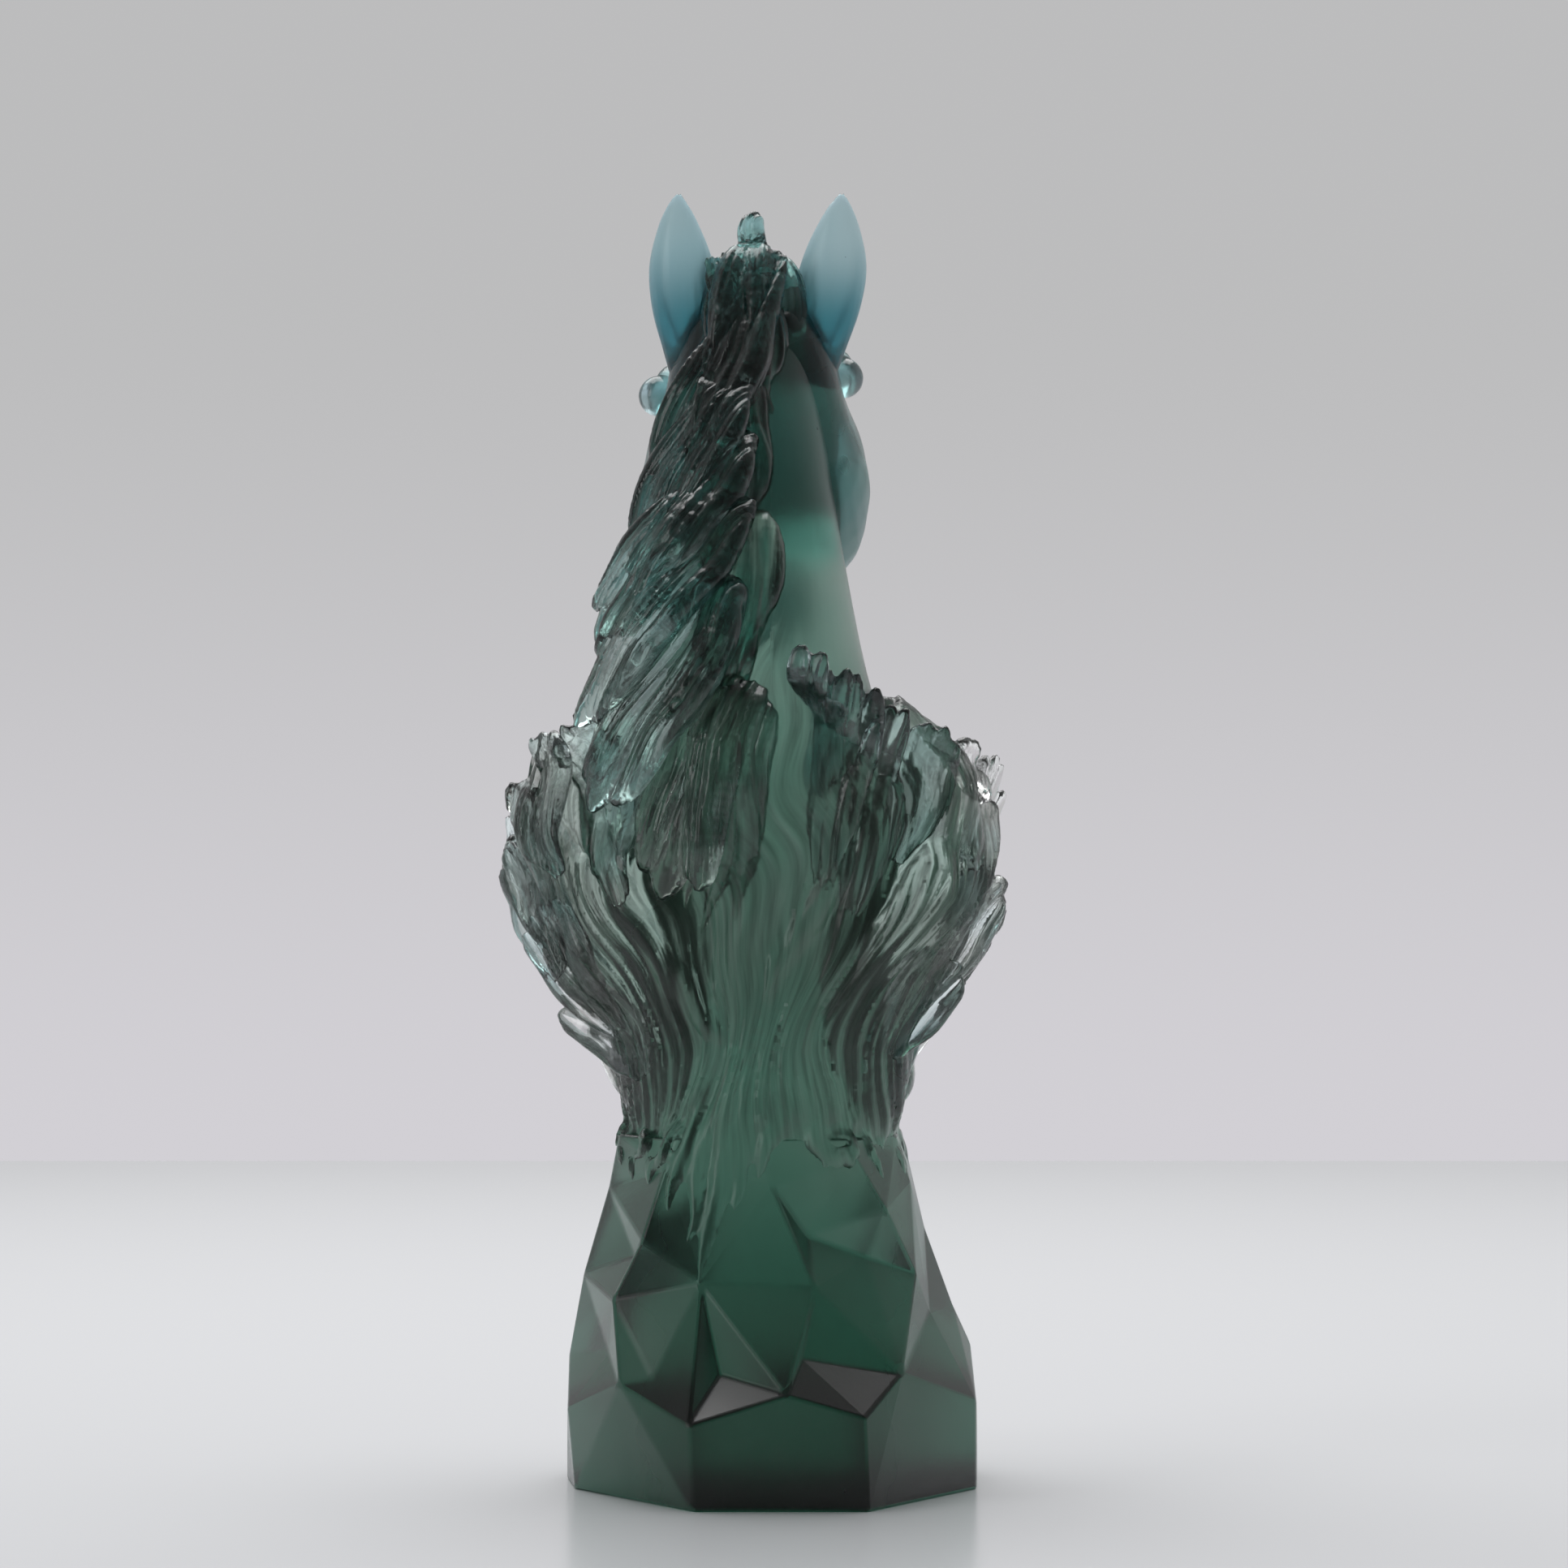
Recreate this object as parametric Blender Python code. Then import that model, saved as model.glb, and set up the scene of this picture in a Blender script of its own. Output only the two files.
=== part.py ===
"""Winged horse bust on a faceted rock base, a cast glass figurine.

Metres, +Z up. The horse faces -Y and its own left side is +X. The origin is the middle of the base's underside.
The drawing is in millimetres through point(left, front, up), which turns it into metres in that frame.
"""

import math

import bmesh
import bpy
from mathutils import Matrix, Vector
from mathutils.geometry import delaunay_2d_cdt

# ---------------------------------------------------------------- driving dimensions, millimetres
HEIGHT = 360.0
BASE_WIDTH = 114.0
BASE_DEPTH = 146.0
WAIST_HEIGHT = 97.0
SHOULDER_HEIGHT = 190.0
HEAD_LEFT = 5.5
JOINT_GAP = 0.3

MM = 0.001
GAP = JOINT_GAP * MM

# ---------------------------------------------------------------- glass colours
DEEP_GREEN = (0.045, 0.130, 0.110)
TEAL = (0.050, 0.170, 0.180)
SMOKE = (0.150, 0.190, 0.180)
PALE_BLUE = (0.380, 0.620, 0.680)


def point(left, front, up):
    """A place on the drawing, in metres in the part's frame."""
    return Vector((left, -front, up)) * MM


# ---------------------------------------------------------------- scene and material helpers
def start_collections():
    for old in list(bpy.data.objects):
        bpy.data.objects.remove(old)
    parts = bpy.data.collections.new("horse_figurine")
    cutters = bpy.data.collections.new("cutters")
    cutters.hide_render = True
    for collection in (parts, cutters):
        bpy.context.scene.collection.children.link(collection)
    return parts, cutters


def glass(name, colour, roughness=0.3):
    material = bpy.data.materials.new(name)
    material.use_nodes = True
    shader = material.node_tree.nodes["Principled BSDF"]
    shader.inputs["Base Color"].default_value = (*colour, 1.0)
    shader.inputs["Roughness"].default_value = roughness
    shader.inputs["Metallic"].default_value = 0.0
    shader.inputs["Transmission Weight"].default_value = 0.6
    return material


def add_part(name, mesh, material):
    part = bpy.data.objects.new(name, mesh)
    mesh.materials.clear()
    mesh.materials.append(material)
    PARTS.objects.link(part)
    CUTTER_OF[name] = grown_cutter(part)
    return part


def mesh_from(work, name):
    bmesh.ops.recalc_face_normals(work, faces=work.faces)
    mesh = bpy.data.meshes.new(name)
    work.to_mesh(mesh)
    work.free()
    return mesh


# ---------------------------------------------------------------- shape helpers
def smooth_between(table, at):
    """Row of numbers at a place along a table whose first column is the place, on a smooth curve through its rows."""
    places = [row[0] for row in table]
    at = min(max(at, places[0]), places[-1])
    k = max(i for i in range(len(table) - 1) if places[i] <= at)
    rows = [table[max(k - 1, 0)], table[k], table[k + 1], table[min(k + 2, len(table) - 1)]]
    span = rows[2][0] - rows[1][0]
    t = (at - rows[1][0]) / span
    result = []
    for before, start, end, after in zip(*(row[1:] for row in rows)):
        slope_in = (end - before) * span / max(rows[2][0] - rows[0][0], span)
        slope_out = (after - start) * span / max(rows[3][0] - rows[1][0], span)
        result.append(
            (2 * t**3 - 3 * t**2 + 1) * start
            + (t**3 - 2 * t**2 + t) * slope_in
            + (3 * t**2 - 2 * t**3) * end
            + (t**3 - t**2) * slope_out
        )
    return result


def loft(rings):
    """Closed skin through rings of equal length, with flat ends."""
    work = bmesh.new()
    corners = [[work.verts.new(place) for place in ring] for ring in rings]
    count = len(rings[0])
    for lower, upper in zip(corners, corners[1:]):
        for i in range(count):
            j = (i + 1) % count
            work.faces.new((lower[i], lower[j], upper[j], upper[i]))
    work.faces.new(corners[0][::-1])
    work.faces.new(corners[-1])
    return work


def oval(centre, across, along, power=2.0, sides=20):
    """Points round a superellipse, whose half axes are the vectors across and along."""
    ring = []
    for i in range(sides):
        angle = math.tau * i / sides
        c, s = math.cos(angle), math.sin(angle)
        ring.append(
            centre
            + across * math.copysign(abs(c) ** (2 / power), c)
            + along * math.copysign(abs(s) ** (2 / power), s)
        )
    return ring


def bezier(start, bend, end, t):
    return start * (1 - t) ** 2 + bend * 2 * t * (1 - t) + end * t**2


def blade(root, bend, tip, outward, width, thickness, tip_share=0.28, stations=9, sides=10):
    """A leaf-shaped blade along a bent centre line: flat across outward, widest near its outer third."""
    rings = []
    for i in range(stations):
        t = i / (stations - 1)
        centre = bezier(root, bend, tip, t)
        ahead = bezier(root, bend, tip, min(t + 0.02, 1.0)) - bezier(root, bend, tip, max(t - 0.02, 0.0))
        sideways = ahead.cross(outward).normalized()
        face = sideways.cross(ahead).normalized()
        swell = 0.45 + 0.55 * math.sin(math.pi * min(t / 0.68, 1.0) / 2)
        if t > 0.68:
            swell = tip_share + (1 - tip_share) * math.cos(math.pi / 2 * (t - 0.68) / 0.32)
        rings.append(oval(centre, sideways * width / 2 * swell, face * thickness / 2 * (0.55 + 0.45 * swell), 2.0, sides))
    return loft(rings)


# ---------------------------------------------------------------- cutting parts to fit each other
def evaluated_mesh(part):
    graph = bpy.context.evaluated_depsgraph_get()
    return bpy.data.meshes.new_from_object(part.evaluated_get(graph))


def grown_cutter(part):
    """A cutter of a part's own shape, grown by the joint gap."""
    work = bmesh.new()
    work.from_mesh(part.data)
    work.normal_update()
    moves = [(v, v.normal * GAP * 1.15) for v in work.verts]
    for vertex, move in moves:
        vertex.co += move
    cutter = bpy.data.objects.new(part.name + "_cutter", mesh_from(work, part.name + "_cutter"))
    cutter.display_type = "WIRE"
    cutter.hide_render = True
    CUTTERS.objects.link(cutter)
    return cutter


def boxes_meet(a, b):
    """Whether two parts' boxes come within a millimetre of each other."""
    spans = []
    for part in (a, b):
        places = [part.matrix_world @ v.co for v in part.data.vertices]
        spans.append([(min(p[k] for p in places) - MM, max(p[k] for p in places) + MM) for k in range(3)])
    return all(spans[0][k][0] < spans[1][k][1] and spans[1][k][0] < spans[0][k][1] for k in range(3))


def keep_largest_body(mesh):
    """Leaves the largest closed body of a mesh, after a cut has left crumbs beside it."""
    work = bmesh.new()
    work.from_mesh(mesh)
    bmesh.ops.remove_doubles(work, verts=work.verts, dist=0.02 * MM)
    bmesh.ops.triangulate(work, faces=work.faces)
    unseen, bodies = set(work.faces), []
    while unseen:
        body, edge_of_body = set(), [unseen.pop()]
        while edge_of_body:
            face = edge_of_body.pop()
            body.add(face)
            for neighbour in {n for e in face.edges for n in e.link_faces} & unseen:
                unseen.discard(neighbour)
                edge_of_body.append(neighbour)
        bodies.append(body)
    largest = max(bodies, key=lambda body: sum(face.calc_area() for face in body))
    bmesh.ops.delete(work, geom=[f for f in work.faces if f not in largest], context="FACES")
    work.to_mesh(mesh)
    work.free()


def cut_to_fit(part, neighbours):
    """Cuts a part back so that it meets each neighbour face to face."""
    for neighbour in neighbours:
        if not boxes_meet(part, neighbour):
            continue
        cut = part.modifiers.new("cut", "BOOLEAN")
        cut.operation = "DIFFERENCE"
        cut.solver = "EXACT"
        cut.object = CUTTER_OF[neighbour.name]
        bpy.context.view_layer.update()
        mesh = evaluated_mesh(part)
        part.modifiers.clear()
        part.data = mesh
        keep_largest_body(mesh)
    return part


# ---------------------------------------------------------------- faceted rock base
# Corners of the rock's facets as (left, front, up). The two outlines are flat: one to stand on, one for the body.
BASE_OUTLINE = [
    (21, -73), (54, -23), (57, 2), (54, 25), (22, 73), (-24, 73), (-55, 25), (-57, 2), (-56, -23), (-26, -73),
]
WAIST_OUTLINE = [
    (42, -20), (26, -40), (2, -45), (-20, -42), (-34, -16), (-36, 10), (-28, 37), (-5, 49), (20, 43), (38, 18),
]
REAR_CORNERS = {
    "hub_left": (19, -52, 59),
    "hub_right": (-11, -53, 58),
    "shoulder": (34, -45, 70),
    "cheek": (43, -44, 54),
    "star_left": (32, -59, 34),
    "star_foot": (22, -73, 23),
    "star_right": (14, -62, 35),
    "sill_left": (41, -54, 32),
    "sill_right": (-4, -73, 31),
    "notch": (-8, -66, 40),
    "sill_far": (-25, -73, 25),
    "cape": (-35, -58, 35),
    "corner_right": (-56, -23, 24),
    "corner_left": (56, -22, 22),
    "edge_left": (56, -8, 36),
    "brow": (-30, -42, 78),
    "brow_inner": (-10, -48, 71),
    "brow_low": (-27, -45, 65),
    "brow_out": (-38, -34, 60),
    "knee": (-43, -26, 49),
    "apex": (0, -46, 85),
    "apex_right": (-19, -43, 90),
    "peak_left": (30, -42, 89),
    "tip_left": (45, -12, 82),
    "dent_left": (37, -38, 65),
    "side_left": (52, -10, 58),
    "shelf_left": (44, -40, 39),
    "side_right": (-42, -8, 71),
    "step_right": (-47, 2, 52),
    "ledge_right": (-50, -6, 49),
    "lip_right": (-55, -2, 38),
    "blade_right": (-38, -20, 84),
    "foot_left": (57, 2, 12),
    "foot_right": (-57, 2, 14),
}
RIDGES = [
    ("hub_left", "hub_right"), ("hub_left", "shoulder"), ("shoulder", "cheek"), ("hub_left", "cheek"),
    ("hub_left", "star_left"), ("cheek", "star_left"), ("cheek", "sill_left"), ("sill_left", "star_left"),
    ("star_left", "star_foot"), ("hub_left", "star_foot"), ("hub_left", "star_right"), ("star_right", "star_foot"),
    ("sill_left", "star_foot"), ("star_right", "sill_right"), ("hub_left", "sill_right"), ("star_foot", "sill_right"),
    ("hub_right", "notch"), ("notch", "sill_right"), ("hub_right", "sill_right"), ("notch", "cape"),
    ("hub_right", "brow_low"), ("brow_low", "cape"), ("hub_right", "cape"), ("sill_right", "sill_far"),
    ("sill_far", "cape"), ("notch", "sill_far"), ("cape", "corner_right"), ("brow", "brow_inner"),
    ("brow_inner", "hub_right"), ("brow", "brow_low"), ("brow_inner", "brow_low"), ("apex", "brow_inner"),
    ("apex", "hub_right"), ("apex_right", "brow"), ("apex_right", "brow_inner"), ("brow", "brow_out"),
    ("brow_low", "brow_out"), ("brow_out", "knee"), ("knee", "cape"), ("knee", "corner_right"),
    ("brow_out", "cape"), ("apex", "hub_left"), ("peak_left", "shoulder"), ("tip_left", "shoulder"),
    ("peak_left", "tip_left"), ("shoulder", "dent_left"), ("dent_left", "cheek"), ("dent_left", "side_left"),
    ("cheek", "side_left"), ("cheek", "shelf_left"), ("shelf_left", "sill_left"), ("shelf_left", "corner_left"),
    ("shelf_left", "edge_left"), ("corner_left", "sill_left"), ("tip_left", "dent_left"),
]
FRONT_CORNERS = [
    (57, 12, 24), (44, 42, 17), (23, 73, 26), (-2, 72, 15), (-24, 71, 24), (-42, 44, 16), (-56, 14, 24),
    (50, 28, 44), (34, 54, 36), (12, 62, 48), (-8, 66, 34), (-30, 57, 47), (-46, 34, 40),
    (44, 18, 68), (30, 44, 62), (6, 52, 72), (-16, 54, 60), (-36, 36, 70), (-42, 12, 62),
    (38, 28, 84), (16, 47, 88), (-8, 50, 82), (-28, 38, 88), (-38, 16, 84),
]


def build_base(material):
    """Triangular facets between the corners, joined along the ridges and elsewhere to the nearest corners."""
    corners = [(x, f, 0.0) for x, f in BASE_OUTLINE]
    corners += [(x, f, WAIST_HEIGHT) for x, f in WAIST_OUTLINE]
    names = {name: len(corners) + i for i, name in enumerate(REAR_CORNERS)}
    corners += list(REAR_CORNERS.values()) + FRONT_CORNERS
    count = len(corners)
    mean_radius = (BASE_WIDTH + BASE_DEPTH) / 4
    unrolled, ridges = [], []
    for turn in range(3):
        for x, f, z in corners:
            unrolled.append(Vector((mean_radius * (math.atan2(f, x) + (turn - 1) * math.tau), z)))
        ridges += [(names[a] + turn * count, names[b] + turn * count) for a, b in RIDGES]
    flat_places, _, faces, sources, _, _ = delaunay_2d_cdt(unrolled, ridges, [], 0, 1e-6)
    work = bmesh.new()
    verts = [work.verts.new(point(*corner)) for corner in corners]
    for face in faces:
        middle = sum(flat_places[i].x for i in face) / 3
        if -math.pi <= middle / mean_radius < math.pi:
            work.faces.new([verts[sources[i][0] % count] for i in face])
    standing = len(BASE_OUTLINE)
    work.faces.new(verts[:standing])
    work.faces.new(verts[standing : 2 * standing])
    return add_part("faceted_base", mesh_from(work, "faceted_base"), material)


# ---------------------------------------------------------------- trunk: torso and neck
# Height, centre to the left, centre to the front, half width, half depth.
TRUNK = [
    (97.3, 2, 2, 36, 46), (120, 2, 3, 33, 45), (150, 1, 6, 35, 47), (178, 0, 4, 37, 45), (200, 1, -1, 34, 39),
    (225, 1, -4, 27, 32), (250, 2, -1, 23, 28), (275, 3, 6, 20, 26), (300, 4, 13, 18, 24), (322, 4, 17, 15, 17),
]


def trunk_ring(height, grow=0.0, sides=24):
    left, front, half_width, half_depth = smooth_between(TRUNK, height)
    return oval(
        point(left, front, height),
        Vector(((half_width + grow) * MM, 0, 0)),
        Vector((0, (half_depth + grow) * MM, 0)),
        2.15,
        sides,
    )


def trunk_surface(turn, height, out=0.0):
    """Place on the trunk at a turn in degrees from its rear, positive towards the horse's left, moved outward."""
    left, front, half_width, half_depth = smooth_between(TRUNK, height)
    angle = math.radians(turn)
    return point(
        left + math.sin(angle) * (half_width + out), front - math.cos(angle) * (half_depth + out), height
    )


def build_trunk(name, low, high, steps, material):
    rings = [trunk_ring(low + (high - low) * i / steps) for i in range(steps + 1)]
    return add_part(name, mesh_from(loft(rings), name), material)


# ---------------------------------------------------------------- head
POLL = (HEAD_LEFT, 10, 331)
MUZZLE = (HEAD_LEFT - 4, 97, 222)
# Share of the head's length, half width, half depth, and how far the section's middle lies below the axis.
HEAD_SECTIONS = [
    (0.00, 13, 9, 6), (0.06, 18, 15, 8), (0.16, 24, 23, 11), (0.28, 28, 30, 14), (0.40, 29, 31, 14),
    (0.52, 24, 27, 11), (0.64, 19, 22, 8), (0.76, 16, 18, 6), (0.88, 17, 17, 6), (0.96, 14, 14, 6), (1.00, 7, 7, 6),
]


def head_axes():
    along = point(*MUZZLE) - point(*POLL)
    across = Vector((0, 0, 1)).cross(along).normalized()
    return along, across, along.cross(across).normalized()


def head_place(share, side, rise):
    """Place in the head: share of its length from the poll, side in mm to the left, rise in mm towards the face."""
    along, across, brow = head_axes()
    return point(*POLL) + along * share + across * side * MM + brow * rise * MM


def build_head(material):
    _, across, brow = head_axes()
    rings = []
    stations = 22
    for i in range(stations + 1):
        share = i / stations
        half_width, half_depth, drop = smooth_between(HEAD_SECTIONS, share)
        rings.append(oval(head_place(share, 0, -drop), across * half_width * MM, brow * half_depth * MM, 2.3, 20))
    return add_part("head", mesh_from(loft(rings), "head"), material)


def build_eye(name, side, material, head):
    work = bmesh.new()
    place = Matrix.Translation(head_place(0.29, side * 25.5, 3))
    bmesh.ops.create_uvsphere(work, u_segments=16, v_segments=10, radius=6.5 * MM, matrix=place)
    return cut_to_fit(add_part(name, mesh_from(work, name), material), [head])


# Share of the ear's length, half width, half thickness.
EAR_SECTIONS = [(0.0, 6.0, 5.0), (0.2, 8.2, 4.6), (0.45, 9.0, 3.4), (0.7, 7.2, 2.4), (0.88, 4.0, 1.7), (1.0, 1.2, 0.8)]


def build_ear(name, base, tip, bow, material, neighbours):
    """A leaf-shaped ear, its hollow side turned forwards, bowed outwards."""
    start, end = point(*base), point(*tip)
    rings = []
    stations = 12
    for i in range(stations + 1):
        t = i / stations
        half_width, half_thickness = smooth_between(EAR_SECTIONS, t)
        centre = start.lerp(end, t) + Vector((bow * MM * math.sin(math.pi * t), 0, 0))
        ring = oval(centre, Vector((half_width * MM, 0, 0)), Vector((0, half_thickness * MM, 0)), 2.0, 16)
        cupped = []
        for place in ring:
            share = (place.x - centre.x) / (half_width * MM)
            cupped.append(place + Vector((0, -half_width * 0.5 * MM * share * share, 0)))
        rings.append(cupped)
    return cut_to_fit(add_part(name, mesh_from(loft(rings), name), material), neighbours)


# ---------------------------------------------------------------- wings
# Each feather: tip (outward, front, up), turn and height of its root on the trunk, width.
LEFT_FEATHERS = [
    ((57, -14, 213), 52, 128, 17), ((66, -6, 208), 62, 124, 18), ((73, 4, 194), 74, 120, 18),
    ((75, -4, 176), 62, 112, 19), ((68, -16, 158), 52, 106, 19), ((58, -22, 138), 46, 101, 18),
    ((66, 24, 188), 96, 120, 19), ((62, 26, 164), 104, 108, 19), ((52, 30, 140), 112, 101, 18),
]
RIGHT_FEATHERS = [
    ((11, -50, 232), 12, 140, 15), ((23, -46, 226), 24, 136, 16), ((35, -38, 217), 36, 132, 17),
    ((47, -27, 211), 48, 128, 18), ((57, -14, 206), 60, 122, 18), ((65, 3, 201), 76, 120, 18),
    ((63, -12, 168), 56, 110, 19), ((53, -24, 146), 46, 103, 19), ((60, 24, 184), 96, 120, 19),
    ((57, 27, 160), 104, 108, 19), ((48, 30, 138), 112, 101, 18),
]
FEATHER_THICKNESS = 7.0

# Height, reach outwards from the middle, centre to the front, half depth.
LEFT_WING_ROOT = [
    (98, 41, 2, 38), (115, 45, 2, 37), (132, 52, 3, 35), (150, 57, 4, 33), (165, 63, 5, 30), (178, 65, 6, 27),
    (190, 62, 6, 23), (200, 54, 5, 17), (207, 46, 4, 9),
]
RIGHT_WING_ROOT = [
    (98, 37, 2, 38), (115, 39, 2, 37), (134, 44, 1, 36), (150, 52, 0, 35), (164, 56, -2, 32), (182, 57, -4, 28),
    (196, 55, -5, 23), (206, 49, -6, 16), (213, 42, -6, 9),
]


def build_wing_root(name, side, sections, material, neighbours):
    """The body that a wing's feathers grow out of, a fan standing on the base against the flank."""
    rings = []
    stations = 14
    low, high = sections[0][0], sections[-1][0]
    for i in range(stations + 1):
        height = low + (high - low) * i / stations
        reach, front, half_depth = smooth_between(sections, height)
        across = Vector((side * reach / 2 * MM, 0, 0))
        rings.append(oval(point(side * reach / 2, front, height), across, Vector((0, half_depth * MM, 0)), 2.3, 20))
    return cut_to_fit(add_part(name, mesh_from(loft(rings), name), material), neighbours)


def build_feather(name, side, feather, material, neighbours):
    (out, front, up), turn, height, width = feather
    tip = point(side * out, front, up)
    root = trunk_surface(side * turn, height, -3.0)
    reach = 0.55 * (up - height)
    bend = trunk_surface(side * turn, height + reach, 0.50 * out - 12)
    outward = Vector((math.sin(math.radians(side * turn)), math.cos(math.radians(turn)), 0.25))
    work = blade(root, bend, tip, outward, width * MM, FEATHER_THICKNESS * MM)
    return cut_to_fit(add_part(name, mesh_from(work, name), material), neighbours)


# ---------------------------------------------------------------- mane
# Each lock: start and end as (turn, height, out) on the trunk, how far it bows out between, width, thickness.
MANE_LOCKS = [
    ((8, 318, 2), (70, 268, 6), 7, 20, 12), ((20, 296, 3), (78, 250, 11), 8, 22, 13),
    ((16, 280, 3), (76, 232, 18), 9, 24, 14), ((22, 262, 4), (70, 210, 22), 9, 26, 15),
    ((22, 240, 5), (60, 186, 16), 9, 28, 14), ((8, 300, 1), (12, 240, 3), 5, 20, 9),
    ((4, 262, 2), (14, 200, 4), 5, 24, 9), ((22, 216, 3), (34, 160, 6), 5, 26, 10),
    ((4, 214, 1), (12, 150, 2), 4, 24, 8), ((-2, 324, 1), (10, 284, 3), 4, 24, 10),
]


def build_lock(name, lock, material, neighbours):
    start, end, bow, width, thickness = lock
    middle = [(a + b) / 2 for a, b in zip(start, end)]
    root = trunk_surface(*start)
    tip = trunk_surface(*end)
    bend = trunk_surface(middle[0], middle[1], middle[2] + bow)
    outward = Vector((math.sin(math.radians(middle[0])), math.cos(math.radians(middle[0])), 0.1))
    work = blade(root, bend, tip, outward, width * MM, thickness * MM, 0.3)
    return cut_to_fit(add_part(name, mesh_from(work, name), material), neighbours)


def build_forelock(material, neighbours):
    """The tuft that stands up between the ears."""
    work = blade(point(4, 12, 326), point(6, 2, 344), point(4, 9, 353), Vector((0, 1, 0)), 22 * MM, 15 * MM, 0.25)
    return cut_to_fit(add_part("forelock", mesh_from(work, "forelock"), material), neighbours)


# ---------------------------------------------------------------- assembly
def build_all():
    green = glass("deep_green_glass", DEEP_GREEN)
    teal = glass("teal_glass", TEAL)
    smoke = glass("smoky_glass", SMOKE)
    pale = glass("pale_blue_glass", PALE_BLUE)

    base = build_base(green)
    torso = build_trunk("torso", WAIST_HEIGHT + JOINT_GAP, SHOULDER_HEIGHT, 12, green)
    neck = build_trunk("neck", SHOULDER_HEIGHT + JOINT_GAP, TRUNK[-1][0], 16, teal)
    head = build_head(teal)
    cut_to_fit(neck, [head])
    core = [base, torso, neck, head]

    build_eye("left_eye", 1, pale, head)
    build_eye("right_eye", -1, pale, head)
    left_ear = build_ear("left_ear", (22, 14, 318), (26.5, 10, HEIGHT - 1), 3.5, pale, core)
    right_ear = build_ear("right_ear", (-12, 14, 318), (-20, 10, HEIGHT - 1), -3.5, pale, core)

    wings = []
    for side, name, sections in ((1, "left", LEFT_WING_ROOT), (-1, "right", RIGHT_WING_ROOT)):
        wings.append(build_wing_root(f"{name}_wing_root", side, sections, smoke, core))
    for side, name, feathers in ((1, "left", LEFT_FEATHERS), (-1, "right", RIGHT_FEATHERS)):
        for i, feather in enumerate(feathers, 1):
            wings.append(build_feather(f"{name}_wing_feather_{i}", side, feather, smoke, core + wings))
    locks = []
    for i, lock in enumerate(MANE_LOCKS, 1):
        locks.append(build_lock(f"mane_lock_{i}", lock, teal, core + wings + [left_ear, right_ear] + locks))
    build_forelock(teal, core + [left_ear, right_ear] + locks)


PARTS, CUTTERS = start_collections()
CUTTER_OF = {}
build_all()
for helper in list(CUTTERS.objects):
    bpy.data.objects.remove(helper)
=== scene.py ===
# %% [markdown]
# # A winged horse bust in satin glass
# The real figurine is poured as one block of coloured glass, then its skin is etched with acid until it
# feels like silk. Light goes into it from all sides, so thick places look dark green and thin edges like
# pale smoke. Rock, trunk and the bodies of the wings become one casting here, because glass that touches
# glass would draw a mirror between them. Head, ears, locks and feathers stay pieces of their own. Hair and
# feathers are carved into the pieces once their forms are right.

import math
import random

import bmesh
import bpy
import numpy as np
from mathutils import Matrix, Vector
from mathutils.bvhtree import BVHTree


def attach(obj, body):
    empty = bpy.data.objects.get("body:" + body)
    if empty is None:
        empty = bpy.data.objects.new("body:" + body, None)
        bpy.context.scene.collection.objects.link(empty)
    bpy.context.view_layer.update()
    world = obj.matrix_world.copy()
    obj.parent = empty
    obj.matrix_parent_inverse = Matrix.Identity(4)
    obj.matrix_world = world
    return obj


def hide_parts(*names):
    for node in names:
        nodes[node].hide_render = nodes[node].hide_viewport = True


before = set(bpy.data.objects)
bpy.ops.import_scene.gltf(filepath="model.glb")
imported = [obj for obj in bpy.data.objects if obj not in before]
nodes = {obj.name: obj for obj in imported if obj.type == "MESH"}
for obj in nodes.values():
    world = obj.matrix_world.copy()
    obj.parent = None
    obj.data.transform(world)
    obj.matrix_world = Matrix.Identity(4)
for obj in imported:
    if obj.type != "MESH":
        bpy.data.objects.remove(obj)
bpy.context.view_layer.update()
MM = 0.001

# %% [markdown]
# ## Numbers that shape the bust
# Everything is written in millimetres in the frame: x to the horse's left, y to its rear, z up. The trunk
# is described by its sections, each one a rounded oval at a height. Low on the back lies the parting: hair
# hangs straight down below it and fans out into the wings above it. The cells are the small squares that
# each kind of piece is remeshed to, the finest relief that it can carry.

# %% Sections of the trunk and the parting
# Height, centre x, centre y, half width, half depth.
TRUNK = [
    (90, 2, -2, 35, 45), (97, 2, -2, 36, 46), (120, 2, -3, 33, 45), (150, 1, -6, 35, 47),
    (178, 0, -4, 37, 45), (200, 1, 1, 34, 39), (225, 1, 4, 27, 32), (250, 2, 1, 23, 28),
    (275, 3, -6, 20, 26), (300, 4, -13, 18, 24), (322, 4, -17, 15, 17),
]
PARTING = (6.0, 120.0)  # x and height
CELL = {"body": 0.98, "head": 0.85, "lock": 0.65, "feather": 0.6, "tuft": 0.6, "ear": 0.5, "eye": 0.4}


def along_rows(rows, at):
    """Numbers between the rows of a table whose first column rises, eased so that no kink shows."""
    places = [row[0] for row in rows]
    at = min(max(at, places[0]), places[-1])
    k = max(i for i in range(len(rows) - 1) if places[i] <= at)
    span = rows[k + 1][0] - rows[k][0]
    before, after = rows[max(k - 1, 0)], rows[min(k + 2, len(rows) - 1)]
    t = (at - rows[k][0]) / span
    result = []
    for a, b, c, d in zip(before[1:], rows[k][1:], rows[k + 1][1:], after[1:]):
        slope_in = (c - a) * span / (rows[k + 1][0] - before[0])
        slope_out = (d - b) * span / (after[0] - rows[k][0])
        result.append(
            (2 * t**3 - 3 * t**2 + 1) * b
            + (t**3 - 2 * t**2 + t) * slope_in
            + (3 * t**2 - 2 * t**3) * c
            + (t**3 - t**2) * slope_out
        )
    return result


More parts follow.
